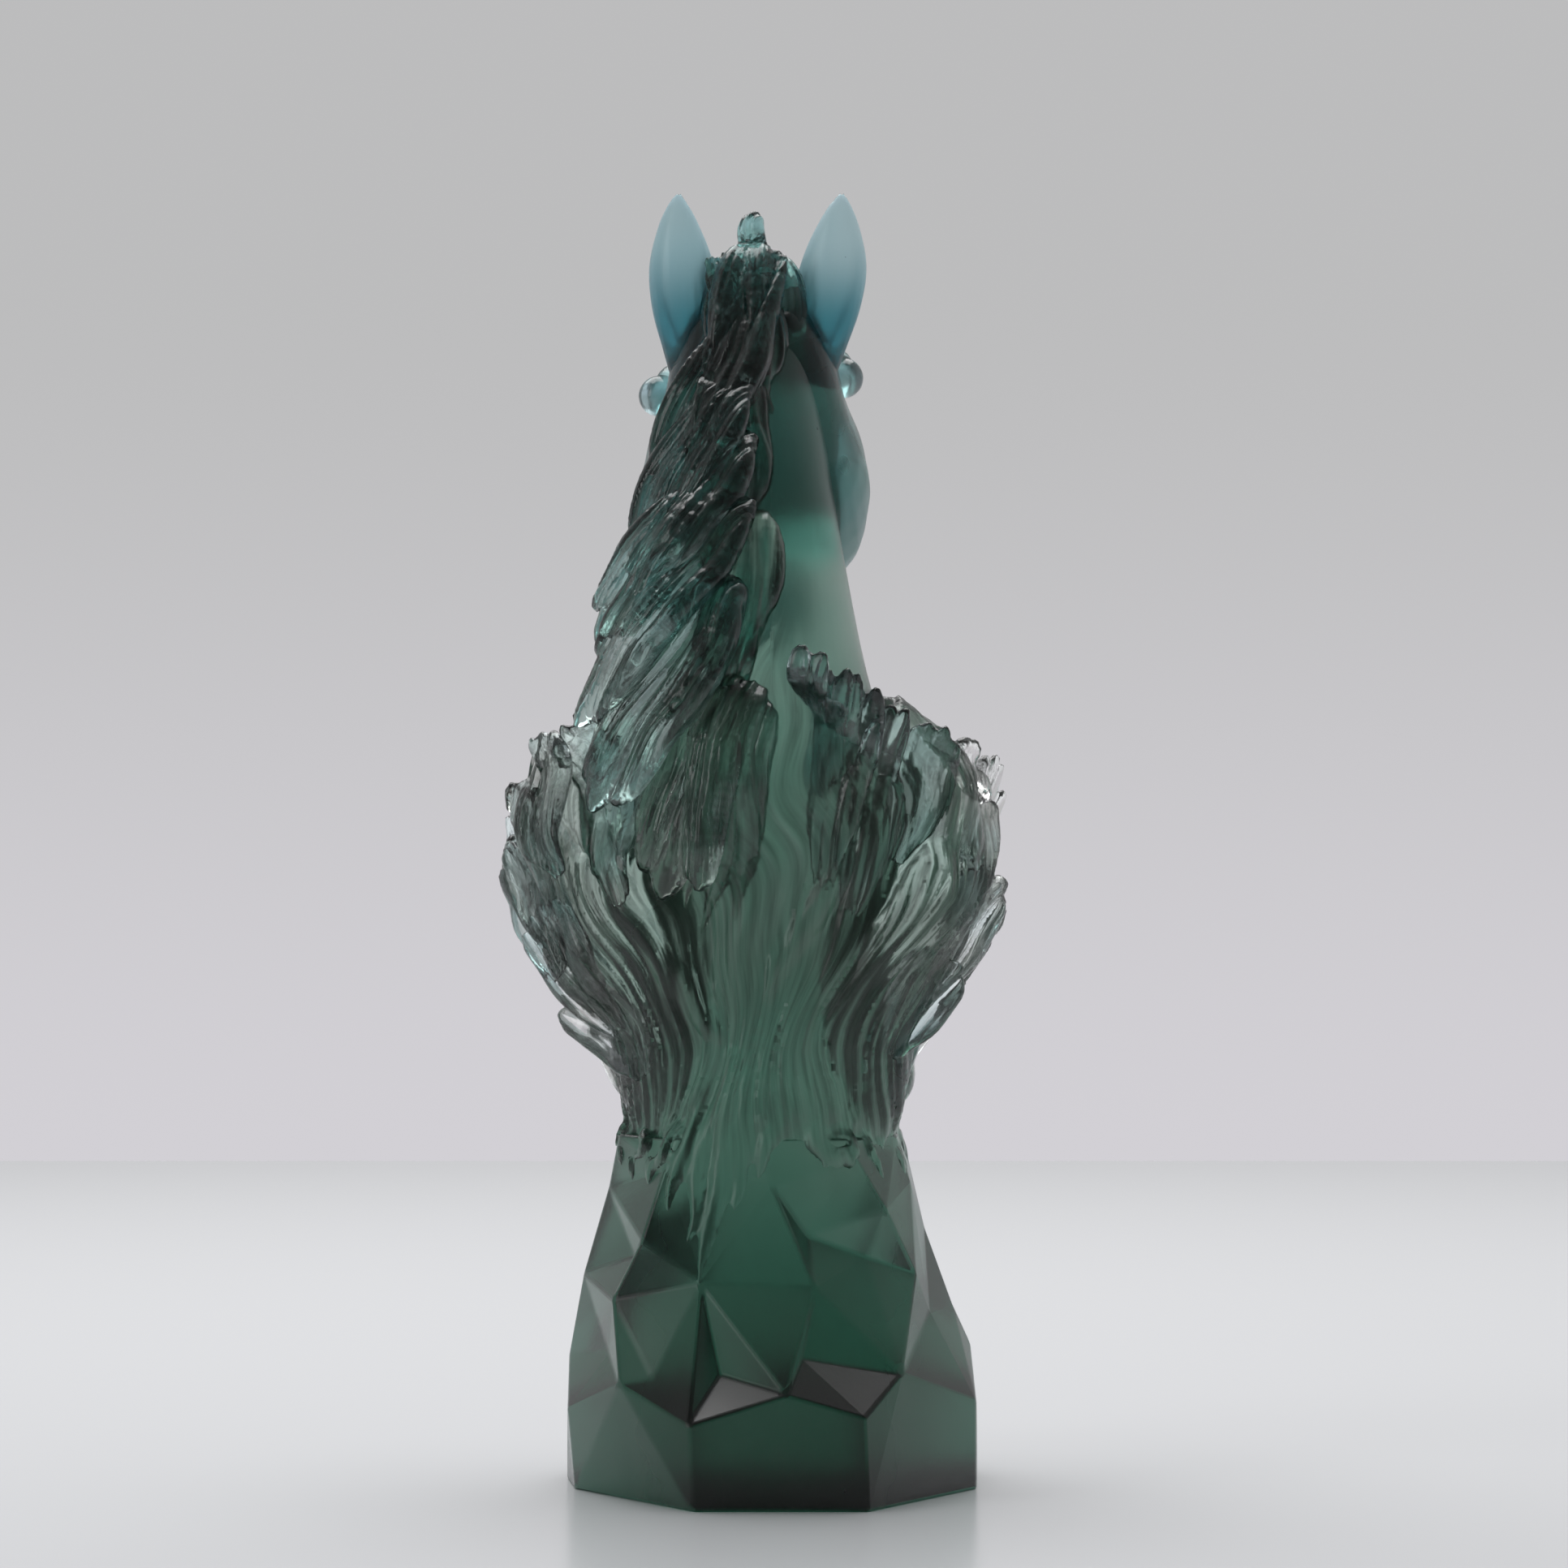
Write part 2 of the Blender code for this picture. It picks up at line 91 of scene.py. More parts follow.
# %% [markdown]
# ## Forms: skins through rings
# A modeller builds such a figure up from rolled and pressed wax. In Blender the same forms are skins
# through rings: a stack of ovals for a body, and a row of flat ovals along a bent line for a lock or a
# feather. Each skin is closed, so a voxel remesh can melt several of them into one, as warm wax does.

# %% Rings, skins and blades


def oval(centre, across, along, power=2.0, sides=28):
    """Points round a superellipse with the half axes across and along."""
    ring = []
    for i in range(sides):
        angle = math.tau * i / sides
        c, s = math.cos(angle), math.sin(angle)
        c, s = math.copysign(abs(c) ** (2 / power), c), math.copysign(abs(s) ** (2 / power), s)
        ring.append(centre + across * c + along * s)
    return ring


def skin(rings):
    """(points, faces) of a closed skin through rings of equal length."""
    count = len(rings[0])
    points = [place for ring in rings for place in ring]
    faces = []
    for row in range(len(rings) - 1):
        for i in range(count):
            a, b = row * count + i, row * count + (i + 1) % count
            faces.append((a, b, b + count, a + count))
    faces.append(tuple(range(count))[::-1])
    faces.append(tuple(range(len(points) - count, len(points))))
    return points, faces


def curve_through(places, t):
    """A place at share t of a smooth line through the given places."""
    rows = [(i / (len(places) - 1), *place) for i, place in enumerate(places)]
    return Vector(along_rows(rows, t))


def blade(places, outward, width, thickness, shape, stations=26, sides=14):
    """A flat tapering lock or feather along a smooth line.

    shape holds rows of share of the length, share of the width and share of the thickness.
    """
    look = 0.03  # share of the length that the direction is measured over
    rings, line = [], []
    for i in range(stations):
        t = i / (stations - 1)
        centre = curve_through(places, t)
        ahead = curve_through(places, min(t + look, 1.0)) - curve_through(places, max(t - look, 0.0))
        side = ahead.cross(Vector(outward)).normalized()
        face = side.cross(ahead).normalized()
        wide, thick = along_rows(shape, t)
        rings.append(oval(centre, side * width / 2 * wide, face * thickness / 2 * thick, 2.2, sides))
        line.append((centre, side, face, max(width / 2 * wide, 0.8)))
    points, faces = skin(rings)
    return points, faces, line


def ball(centre, radii, tilt=0.0, sides=20):
    """(points, faces) of an ellipsoid, tilted about X in degrees."""
    work = bmesh.new()
    bmesh.ops.create_uvsphere(work, u_segments=sides, v_segments=sides // 2, radius=1.0)
    turn = Matrix.Rotation(math.radians(tilt), 3, "X")
    points = [Vector(centre) + turn @ Vector([v.co[k] * radii[k] for k in range(3)]) for v in work.verts]
    faces = [tuple(v.index for v in face.verts) for face in work.faces]
    work.free()
    return points, faces


print("A form is a list of points and a list of faces")

# %% [markdown]
# ## Melting forms into one piece
# The Remesh modifier in voxel mode wraps all the overlapping forms of a piece in one even skin of small
# squares. The squares are what the carving moves later. A Smooth modifier takes off the voxel steps.

# %% Melt


def melt(name, forms, cell, smoothing):
    """One object from overlapping closed forms, remeshed to even cells and smoothed a number of times."""
    points, faces = [], []
    for form in forms:
        start = len(points)
        points += [place * MM for place in form[0]]
        faces += [tuple(start + i for i in face) for face in form[1]]
    mesh = bpy.data.meshes.new(name)
    mesh.from_pydata(points, [], faces)
    work = bmesh.new()
    work.from_mesh(mesh)
    bmesh.ops.recalc_face_normals(work, faces=work.faces)
    work.to_mesh(mesh)
    work.free()
    piece = bpy.data.objects.new(name, mesh)
    bpy.context.scene.collection.objects.link(piece)
    remesh = piece.modifiers.new("melt", "REMESH")
    remesh.mode = "VOXEL"
    remesh.voxel_size = cell * MM
    remesh.use_smooth_shade = True
    smooth = piece.modifiers.new("smooth", "SMOOTH")
    smooth.factor = 0.5
    smooth.iterations = smoothing
    return settle(piece)


def settle(piece):
    """Turns a piece's modifiers into its plain mesh."""
    bpy.context.view_layer.update()
    graph = bpy.context.evaluated_depsgraph_get()
    mesh = bpy.data.meshes.new_from_object(piece.evaluated_get(graph))
    piece.modifiers.clear()
    piece.data = mesh
    mesh.name = piece.name
    return piece


def places_of(piece):
    """The vertices of a piece in millimetres, as a table."""
    flat = np.empty(len(piece.data.vertices) * 3)
    piece.data.vertices.foreach_get("co", flat)
    return flat.reshape(-1, 3) / MM


def mark(piece, name, values):
    """Stores a number for each vertex of a piece under a name."""
    layer = piece.data.attributes.new(name, "FLOAT", "POINT")
    layer.data.foreach_set("value", np.ascontiguousarray(values, dtype=np.float32))


def skin_of(*forms):
    """A search tree over closed forms or finished pieces, in millimetres."""
    points, faces = [], []
    for form in forms:
        start = len(points)
        if isinstance(form, tuple):
            points += form[0]
            faces += [tuple(start + i for i in face) for face in form[1]]
        else:
            points += [Vector(place) for place in places_of(form)]
            faces += [tuple(start + i for i in face.vertices) for face in form.data.polygons]
    return BVHTree.FromPolygons(points, faces)


def lay(place, tree, outward, sink):
    """The nearest skin to a place along a level line, looked for from outside, then sunk a little."""
    outward = Vector((outward[0], outward[1], 0)).normalized()
    reach = 120
    hit = tree.ray_cast(Vector(place) + outward * reach, -outward, 2 * reach)[0]
    return Vector(place) if hit is None else hit - outward * sink


print("Cells in millimetres:", CELL)

# %% [markdown]
# ## Carving with Geometry Nodes
# The carver drags toothed tools along the hair, so grooves follow the strands and hardly change along them.
# Each vertex carries two marks: its place across the strands and its place along them. A noise texture that
# is stretched along the strands then moves the surface in and out. Three sizes of it are added up: locks,
# strands and hairs. A third mark, carve, fades the tool out where the glass is left smooth.

# %% Build the carving tree


def calculator(tree):
    """A function that adds a Math node to a tree and gives back its result socket."""

    def calc(operation, first, second):
        node = tree.nodes.new("ShaderNodeMath")
        node.operation = operation
        for socket, value in zip(node.inputs, (first, second)):
            if isinstance(value, (int, float)):
                socket.default_value = value
            else:
                tree.links.new(value, socket)
        return node.outputs[0]

    return calc


# Each tool's size as a share of a lock's width, how much longer than wide its marks are, and its depth.
TOOLS = ((1.0, 9.0, "Lock Depth"), (0.42, 14.0, "Strand Depth"), (0.16, 22.0, "Hair Depth"))


def carving_tree():
    tree = bpy.data.node_groups.new("carve_strands", "GeometryNodeTree")
    tree.interface.new_socket("Geometry", in_out="INPUT", socket_type="NodeSocketGeometry")
    for name in ("Lock Width", "Lock Depth", "Strand Depth", "Hair Depth", "Seed"):
        tree.interface.new_socket(name, in_out="INPUT", socket_type="NodeSocketFloat")
    tree.interface.new_socket("Geometry", in_out="OUTPUT", socket_type="NodeSocketGeometry")
    add, link = tree.nodes.new, tree.links.new
    given, result = add("NodeGroupInput"), add("NodeGroupOutput")
    marks = {}
    for name in ("across", "along", "carve"):
        marks[name] = add("GeometryNodeInputNamedAttribute")
        marks[name].data_type = "FLOAT"
        marks[name].inputs["Name"].default_value = name
    calc = calculator(tree)
    across, along = marks["across"].outputs["Attribute"], marks["along"].outputs["Attribute"]
    total = None
    for share, stretch, depth in TOOLS:
        width = calc("MULTIPLY", given.outputs["Lock Width"], share)
        place = add("ShaderNodeCombineXYZ")
        link(calc("DIVIDE", across, width), place.inputs["X"])
        link(calc("DIVIDE", along, calc("MULTIPLY", width, stretch)), place.inputs["Y"])
        link(calc("ADD", given.outputs["Seed"], share * 7.0), place.inputs["Z"])
        noise = add("ShaderNodeTexNoise")
        noise.inputs["Scale"].default_value = 1.0
        noise.inputs["Detail"].default_value = 1.0
        noise.inputs["Distortion"].default_value = 0.12
        link(place.outputs[0], noise.inputs["Vector"])
        centred = calc("SUBTRACT", noise.outputs["Fac"], 0.5)
        moved = calc("MULTIPLY", calc("MULTIPLY", centred, 2.4), given.outputs[depth])
        total = moved if total is None else calc("ADD", total, moved)
    total = calc("MULTIPLY", total, marks["carve"].outputs["Attribute"])
    push = add("ShaderNodeVectorMath")
    push.operation = "SCALE"
    link(add("GeometryNodeInputNormal").outputs[0], push.inputs[0])
    link(total, push.inputs["Scale"])
    carve = add("GeometryNodeSetPosition")
    link(given.outputs["Geometry"], carve.inputs["Geometry"])
    link(push.outputs[0], carve.inputs["Offset"])
    link(carve.outputs[0], result.inputs["Geometry"])
    return tree


CARVE = carving_tree()


def carve(piece, across, along, amount=None, width=9.0, lock=1.6, strand=0.7, hair=0.3, seed=0):
    """Marks a piece with its strands and carves it along them. Lengths are in millimetres."""
    mark(piece, "across", across * MM)
    mark(piece, "along", along * MM)
    mark(piece, "carve", np.ones(len(across)) if amount is None else amount)
    cut = piece.modifiers.new("carve", "NODES")
    cut.node_group = CARVE
    values = {"Lock Width": width * MM, "Lock Depth": lock * MM, "Strand Depth": strand * MM}
    values.update({"Hair Depth": hair * MM, "Seed": float(seed)})
    for socket in CARVE.interface.items_tree:
        if socket.name in values:
            cut[socket.identifier] = values[socket.name]
    return settle(piece)


print("Carving tree has", len(CARVE.nodes), "nodes")

# %% [markdown]
# ## Which way the strands run
# On the casting the strands hang below the parting and spread above it, so the place across them is the
# distance from the middle over the spread at that height. The flanks are unrolled first, so that the strands
# keep their width round the sides. A slow wave and a quick ripple stop them from looking combed. On a lock or
# a feather the strands follow its own line: each vertex looks up the nearest station of the nearest blade.

# %% Fans and lines


def fan(places):
    """Across and along for strands that hang below the parting and fan out above it."""
    flank = np.clip(38 - places[:, 1], 0, 200)  # how far in front of the back a vertex lies
    unrolled = places[:, 0] + np.sign(places[:, 0]) * 0.8 * flank
    x, rise = unrolled - PARTING[0], places[:, 2] - PARTING[1]
    spread = np.hypot(0.4, np.clip(rise, 0, None) / 52.0)
    drawn_in = 0.22 * np.clip(-rise, 0, None) * np.sign(x) * np.minimum(np.abs(x) / 20, 1)
    across = 0.8 * x * (0.5 / spread + 0.5) - drawn_in
    wave, ripple = 4.0 * np.sin(rise / 17.0 + across / 25.0), 1.2 * np.sin(rise / 6.0 + across / 9.0)
    return across + wave + ripple, rise


def follow(places, lines):
    """Across and along for strands that follow the blades whose stations are given."""
    centre = np.array([station[0] for line in lines for station in line])
    side = np.array([station[1] for line in lines for station in line])
    half = np.array([station[3] for line in lines for station in line])
    length = np.concatenate(
        [np.cumsum([0] + [(b[0] - a[0]).length for a, b in zip(line, line[1:])]) for line in lines]
    )
    owner = np.concatenate([np.full(len(line), i) for i, line in enumerate(lines)])
    across, along = np.empty(len(places)), np.empty(len(places))
    batch = 4000  # keeps the table of distances small
    apart = 31.0  # moves each blade to a stretch of the noise of its own
    for start in range(0, len(places), batch):
        part = places[start : start + batch]
        gap = part[:, None, :] - centre[None, :, :]
        nearest = (np.linalg.norm(gap, axis=2) - 0.6 * half[None, :]).argmin(axis=1)
        own = gap[np.arange(len(part)), nearest]
        across[start : start + batch] = (own * side[nearest]).sum(axis=1) + owner[nearest] * apart
        along[start : start + batch] = length[nearest]
    return across, along


print("Strands spread above", PARTING[1], "mm")

# %% [markdown]
# ## Satin glass
# Cast glass gets its depth from absorption: the farther light travels in it, the more of it the metal
# oxides take. So the body colour is a plain Volume Absorption, under a lightly tinted skin with full
# transmission. Acid etching makes the surface rough at a very small scale, which is the roughness and a
# fine bump. Grains of differently coloured glass melt side by side in the mould, so a slow drift between
# two tints goes over it.

# %% Shared shader groups


def drift_group():
    """Slow drift between two tints, as if glass grains ran into each other, and pinholes left by bubbles,
    darkened with painted shade.

    Outward moves the drift to Tint B, and takes off frost, away from the middle of the figure.
    """
    group = bpy.data.node_groups.new("glass_drift", "ShaderNodeTree")
    for name in ("Tint A", "Tint B"):
        group.interface.new_socket(name, in_out="INPUT", socket_type="NodeSocketColor")
    for name in ("Scale", "Outward", "Frost"):
        group.interface.new_socket(name, in_out="INPUT", socket_type="NodeSocketFloat")
    for name, kind in {"Color": "Color", "Roughness": "Float", "Height": "Float"}.items():
        group.interface.new_socket(name, in_out="OUTPUT", socket_type="NodeSocket" + kind)
    add, link = group.nodes.new, group.links.new
    given, result = add("NodeGroupInput"), add("NodeGroupOutput")
    place = add("ShaderNodeTexCoord").outputs["Object"]
    calc = calculator(group)
    cloud = add("ShaderNodeTexNoise")
    cloud.inputs["Detail"].default_value = 2.0
    link(place, cloud.inputs["Vector"])
    link(given.outputs["Scale"], cloud.inputs["Scale"])
    split = add("ShaderNodeSeparateXYZ")
    link(place, split.inputs[0])
    edge = calc("MULTIPLY", calc("ABSOLUTE", split.outputs["X"], 0.0), given.outputs["Outward"])
    share = add("ShaderNodeMapRange")
    share.inputs["From Min"].default_value = 0.38
    share.inputs["From Max"].default_value = 0.72
    link(calc("ADD", cloud.outputs["Fac"], edge), share.inputs["Value"])
    mix = add("ShaderNodeMix")
    mix.data_type = "RGBA"
    link(share.outputs[0], mix.inputs["Factor"])
    link(given.outputs["Tint A"], mix.inputs["A"])
    link(given.outputs["Tint B"], mix.inputs["B"])

    # A pinhole is a small round spot at the middle of a few of the cells, a millimetre across. It sinks as a
    # bump, and its near-black colour is painted shade in the pit.
    cells = add("ShaderNodeTexVoronoi")
    cells.inputs["Scale"].default_value = 150.0
    link(place, cells.inputs["Vector"])
    near = calc("LESS_THAN", cells.outputs["Distance"], 0.075)
    scarce = add("ShaderNodeTexWhiteNoise")
    link(cells.outputs["Position"], scarce.inputs["Vector"])
    pinhole = calc("MULTIPLY", near, calc("GREATER_THAN", scarce.outputs["Value"], 0.93))
    # Painted shade: the tint is mixed three quarters of the way to near black in each pinhole.
    dark = add("ShaderNodeMix")
    dark.data_type = "RGBA"
    dark.inputs["B"].default_value = (0.05, 0.08, 0.08, 1.0)
    link(calc("MULTIPLY", pinhole, 0.75), dark.inputs["Factor"])
    link(mix.outputs["Result"], dark.inputs["A"])
    link(dark.outputs["Result"], result.inputs["Color"])

    frost = add("ShaderNodeTexNoise")
    frost.inputs["Scale"].default_value = 900.0
    frost.inputs["Detail"].default_value = 3.0
    link(place, frost.inputs["Vector"])
    worn = add("ShaderNodeTexNoise")
    worn.inputs["Scale"].default_value = 30.0
    link(place, worn.inputs["Vector"])
    matt = calc("ADD", calc("MULTIPLY", worn.outputs["Fac"], 0.2), given.outputs["Frost"])
    link(calc("SUBTRACT", matt, calc("MULTIPLY", edge, 0.6)), result.inputs["Roughness"])
    link(calc("SUBTRACT", calc("MULTIPLY", frost.outputs["Fac"], 0.4), pinhole), result.inputs["Height"])
    return group


def streak_group():
    """Fine lines along carved strands, read from the marks across and along: a height for their bump, and a
    share of painted light that is full on their ridges and low in their grooves, where painted shade goes.
    """
    group = bpy.data.node_groups.new("strand_streaks", "ShaderNodeTree")
    group.interface.new_socket("Spacing", in_out="INPUT", socket_type="NodeSocketFloat")
    group.interface.new_socket("Height", in_out="OUTPUT", socket_type="NodeSocketFloat")
    group.interface.new_socket("Painted Ridge Light", in_out="OUTPUT", socket_type="NodeSocketFloat")
    add, link = group.nodes.new, group.links.new
    given, result = add("NodeGroupInput"), add("NodeGroupOutput")
    place = add("ShaderNodeCombineXYZ")
    for name, socket, stretch in (("across", "X", 1.0), ("along", "Y", 0.07)):
        strand = add("ShaderNodeAttribute")
        strand.attribute_name = name
        scaled, stretched = add("ShaderNodeMath"), add("ShaderNodeMath")
        scaled.operation, stretched.operation = "DIVIDE", "MULTIPLY"
        stretched.inputs[1].default_value = stretch
        link(strand.outputs["Fac"], scaled.inputs[0])
        link(given.outputs["Spacing"], scaled.inputs[1])
        link(scaled.outputs[0], stretched.inputs[0])
        link(stretched.outputs[0], place.inputs[socket])
    noise = add("ShaderNodeTexNoise")
    noise.inputs["Scale"].default_value = 1.0
    noise.inputs["Detail"].default_value = 2.0
    link(place.outputs[0], noise.inputs["Vector"])
    carved, height, shown = add("ShaderNodeAttribute"), add("ShaderNodeMath"), add("ShaderNodeMix")
    carved.attribute_name = "carve"
    height.operation = "MULTIPLY"
    link(noise.outputs["Fac"], height.inputs[0])
    link(carved.outputs["Fac"], height.inputs[1])
    link(height.outputs[0], result.inputs["Height"])
    # The ridge share is painted light and shade: the tint stays on the ridges of the lines and is darkened in
    # their grooves, and uncarved glass gets a fixed 0.8.
    ridge = add("ShaderNodeMapRange")
    ridge.inputs["From Min"].default_value = 0.36
    ridge.inputs["From Max"].default_value = 0.62
    link(noise.outputs["Fac"], ridge.inputs["Value"])
    shown.inputs["A"].default_value = 0.8
    link(carved.outputs["Fac"], shown.inputs["Factor"])
    link(ridge.outputs[0], shown.inputs["B"])
    link(shown.outputs["Result"], result.inputs["Painted Ridge Light"])
    return group


DRIFT = drift_group()
STREAKS = streak_group()
print("Groups:", DRIFT.name, STREAKS.name)

# %% Satin glass material


def darker_foot(tree, tint, low, high, cast):
    """Multiplies a tint by cast below the height low, fading out up to the height high."""
    add, link = tree.nodes.new, tree.links.new
    place, split, fade = add("ShaderNodeTexCoord"), add("ShaderNodeSeparateXYZ"), add("ShaderNodeMapRange")
    share, product = add("ShaderNodeMix"), add("ShaderNodeMix")
    fade.interpolation_type = "SMOOTHSTEP"
    fade.inputs["From Min"].default_value = low * MM
    fade.inputs["From Max"].default_value = high * MM
    share.data_type = product.data_type = "RGBA"
    share.inputs["A"].default_value = (*cast, 1.0)
    share.inputs["B"].default_value = (1.0, 1.0, 1.0, 1.0)
    product.blend_type = "MULTIPLY"
    product.inputs["Factor"].default_value = 1.0
    link(place.outputs["Object"], split.inputs[0])
    link(split.outputs["Z"], fade.inputs["Value"])
    link(fade.outputs[0], share.inputs["Factor"])
    link(tint, product.inputs["A"])
    link(share.outputs["Result"], product.inputs["B"])
    return product.outputs["Result"]


def engrave_with_painted_shade(tree, tint, normal, depth):
    """Fine lines along the strands, as a bump and as painted shade that darkens the tint in their grooves."""
    add, link = tree.nodes.new, tree.links.new
    lines, bump, shade, value = (add("ShaderNode" + kind) for kind in ("Group", "Bump", "Mix", "MapRange"))
    lines.node_tree = STREAKS
    lines.inputs["Spacing"].default_value = 0.0019
    bump.inputs["Strength"].default_value = 0.6 * depth
    bump.inputs["Distance"].default_value = 0.0006
    link(lines.outputs["Height"], bump.inputs["Height"])
    link(normal, bump.inputs["Normal"])
    shade.data_type = "RGBA"
    shade.blend_type = "MULTIPLY"
    shade.inputs["Factor"].default_value = 1.0
    # Painted shade in the grooves: the tint is multiplied down to 1 - 0.75 * depth where the ridge share is
    # zero.
    value.inputs["To Min"].default_value = 1.0 - 0.75 * depth
    link(lines.outputs["Painted Ridge Light"], value.inputs["Value"])
    link(tint, shade.inputs["A"])
    link(value.outputs[0], shade.inputs["B"])
    return shade.outputs["Result"], bump.outputs["Normal"]


def satin_glass(name, tints, smoke, density, frost=0.1, outward=2.0, streak_bump_and_shade=0.0, foot=None):
    """Etched glass: tints on its skin, smoke and density for what its depth takes, and fine hair streaks
    given as a bump with painted shade in their grooves.
    """
    material = bpy.data.materials.new(name)
    material.use_nodes = True
    tree = material.node_tree
    shader, result = tree.nodes["Principled BSDF"], tree.nodes["Material Output"]
    add, link = tree.nodes.new, tree.links.new
    drift = add("ShaderNodeGroup")
    drift.node_tree = DRIFT
    values = {"Scale": 22.0, "Outward": outward, "Frost": frost}
    values.update({"Tint A": (*tints[0], 1.0), "Tint B": (*tints[1], 1.0)})
    for key, value in values.items():
        drift.inputs[key].default_value = value
    fine = add("ShaderNodeBump")
    fine.inputs["Strength"].default_value = 0.25
    fine.inputs["Distance"].default_value = 0.0002
    link(drift.outputs["Height"], fine.inputs["Height"])
    tint, normal = drift.outputs["Color"], fine.outputs["Normal"]
    if foot:
        tint = darker_foot(tree, tint, *foot)
    # Hair streaks: a bump, and painted shade in their grooves.
    if streak_bump_and_shade:
        tint, normal = engrave_with_painted_shade(tree, tint, normal, streak_bump_and_shade)
    link(tint, shader.inputs["Base Color"])
    link(normal, shader.inputs["Normal"])
    link(drift.outputs["Roughness"], shader.inputs["Roughness"])
    shader.inputs["Metallic"].default_value = 0.0
    shader.inputs["Transmission Weight"].default_value = 1.0
    shader.inputs["IOR"].default_value = 1.5
    depth = add("ShaderNodeVolumeAbsorption")
    depth.inputs["Color"].default_value = (*smoke, 1.0)
    depth.inputs["Density"].default_value = density
    link(depth.outputs[0], result.inputs["Volume"])
    return material


# Heights where a foot is darkest and where it ends, and its tint.
ROCK_FOOT = (30, 118, (0.50, 0.86, 0.80))
EAR_FOOT = (320, 346, (0.10, 0.38, 0.43))
GREEN_SMOKE = (0.44, 0.59, 0.53)
BODY_TINTS = (0.64, 0.92, 0.84), (1.00, 1.00, 0.97)
TRESS_TINTS = (0.58, 0.90, 0.84), (0.96, 0.98, 0.93)
MANE_TINTS = (0.50, 0.90, 0.88), (0.92, 0.96, 0.93)
FEATHER_TINTS = (0.66, 0.92, 0.94), (0.96, 0.96, 0.95)
HEAD_TINTS = (0.46, 0.80, 0.82), (0.70, 0.80, 0.78)
EAR_TINTS = (0.46, 0.70, 0.75), (0.58, 0.77, 0.80)
EYE_TINTS = (0.60, 0.80, 0.84), (0.76, 0.86, 0.88)
# The streak value of body, tress, mane and feather glass sets both the bump of their fine lines and the
# painted shade in the lines' grooves.
BODY_GLASS = satin_glass("body_glass", BODY_TINTS, GREEN_SMOKE, 44, 0.26, 4.5, 0.80, ROCK_FOOT)
TRESS_GLASS = satin_glass("tress_glass", TRESS_TINTS, GREEN_SMOKE, 14, 0.10, 4.5, 0.85)
MANE_GLASS = satin_glass("mane_glass", MANE_TINTS, (0.34, 0.52, 0.49), 45, 0.09, streak_bump_and_shade=0.85)
FEATHER_GLASS = satin_glass("feather_glass", FEATHER_TINTS, (0.55, 0.62, 0.60), 9, 0.06, streak_bump_and_shade=0.35)
HEAD_GLASS = satin_glass("head_glass", HEAD_TINTS, (0.38, 0.58, 0.56), 46, 0.20)
EAR_GLASS = satin_glass("ear_glass", EAR_TINTS, (0.30, 0.60, 0.64), 46, 0.28, foot=EAR_FOOT)
EYE_GLASS = satin_glass("eye_glass", EYE_TINTS, (0.42, 0.60, 0.62), 50)
print("Glasses:", [m.name for m in bpy.data.materials if m.name.endswith("_glass")])

# %% Finish a piece


def finish(piece, material, slot, *replaced):
    """Gives a piece its glass and ties it to the frame."""
    piece.data.materials.clear()
    piece.data.materials.append(material)
    for face in piece.data.polygons:
        face.use_smooth = True
    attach(piece, "root")
    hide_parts(*replaced)
    return piece


# %% [markdown]
# ## The rock
# The base is cut in flat facets like a crystal, and the etching rounds its edges by a few tenths of a
# millimetre. The frame already holds the facets, so we copy that mesh, join its loose triangles, move some
# corners a little so that the facets meet more sharply, and give the edges a small bevel.

# %% The rock
# Corners of the rear facets, and how far each is pulled out of the rock, or pushed into it where negative.
RELIEF = [
    ((-11, 53, 58), 3.2), ((0, 46, 85), 1.8), ((-10, 48, 71), -2.0), ((-27, 45, 65), -2.4),
    ((-30, 42, 78), 1.6), ((-8, 66, 40), -2.2), ((30, 42, 89), -1.8), ((34, 45, 70), 1.8),
    ((-38, 34, 60), 1.6), ((14, 62, 35), -1.6),
]


def build_rock():
    work = bmesh.new()
    work.from_mesh(nodes["faceted_base"].data)
    bmesh.ops.remove_doubles(work, verts=work.verts, dist=0.01 * MM)
    bmesh.ops.dissolve_limit(work, angle_limit=math.radians(2.0), verts=work.verts, edges=work.edges)
    for corner, pull in RELIEF:
        nearest = min(work.verts, key=lambda v: (v.co / MM - Vector(corner)).length)
        nearest.co += Vector((nearest.co.x, nearest.co.y, 0)).normalized() * pull * MM
    bmesh.ops.triangulate(work, faces=work.faces)
    bmesh.ops.recalc_face_normals(work, faces=work.faces)
    mesh = bpy.data.meshes.new("rock")
    work.to_mesh(mesh)
    work.free()
    rock = bpy.data.objects.new("rock", mesh)
    bpy.context.scene.collection.objects.link(rock)
    bevel = rock.modifiers.new("worn_edges", "BEVEL")
    bevel.width = 0.9 * MM
    bevel.segments = 3
    bevel.limit_method = "ANGLE"
    bevel.angle_limit = math.radians(8.0)
    return settle(rock)


print("The rock in the frame has", len(nodes["faceted_base"].data.polygons), "triangles")

# %% [markdown]
# ## The trunk
# Chest, back and neck are one stack of ovals with hair carved all over its left and rear. The horse's right
# side of the neck is left smooth, which the carve mark does: it fades to nothing there. Long pointed locks
# run down from the parting over the rock, and a short fringe hides the waist. All of them are melted into
# the trunk.

# %% Torso and neck


def trunk_form(low, high, steps):
    rings = []
    for i in range(steps + 1):
        height = low + (high - low) * i / steps
        x, y, half_width, half_depth = along_rows(TRUNK, height)
        wide, deep = Vector((half_width, 0, 0)), Vector((0, half_depth, 0))
        rings.append(oval(Vector((x, y, height)), wide, deep, 2.15, 48))
    return skin(rings)


POINTED = [(0.0, 0.7, 0.9), (0.3, 1.0, 1.0), (0.65, 0.75, 0.8), (0.88, 0.38, 0.5), (1.0, 0.06, 0.15)]
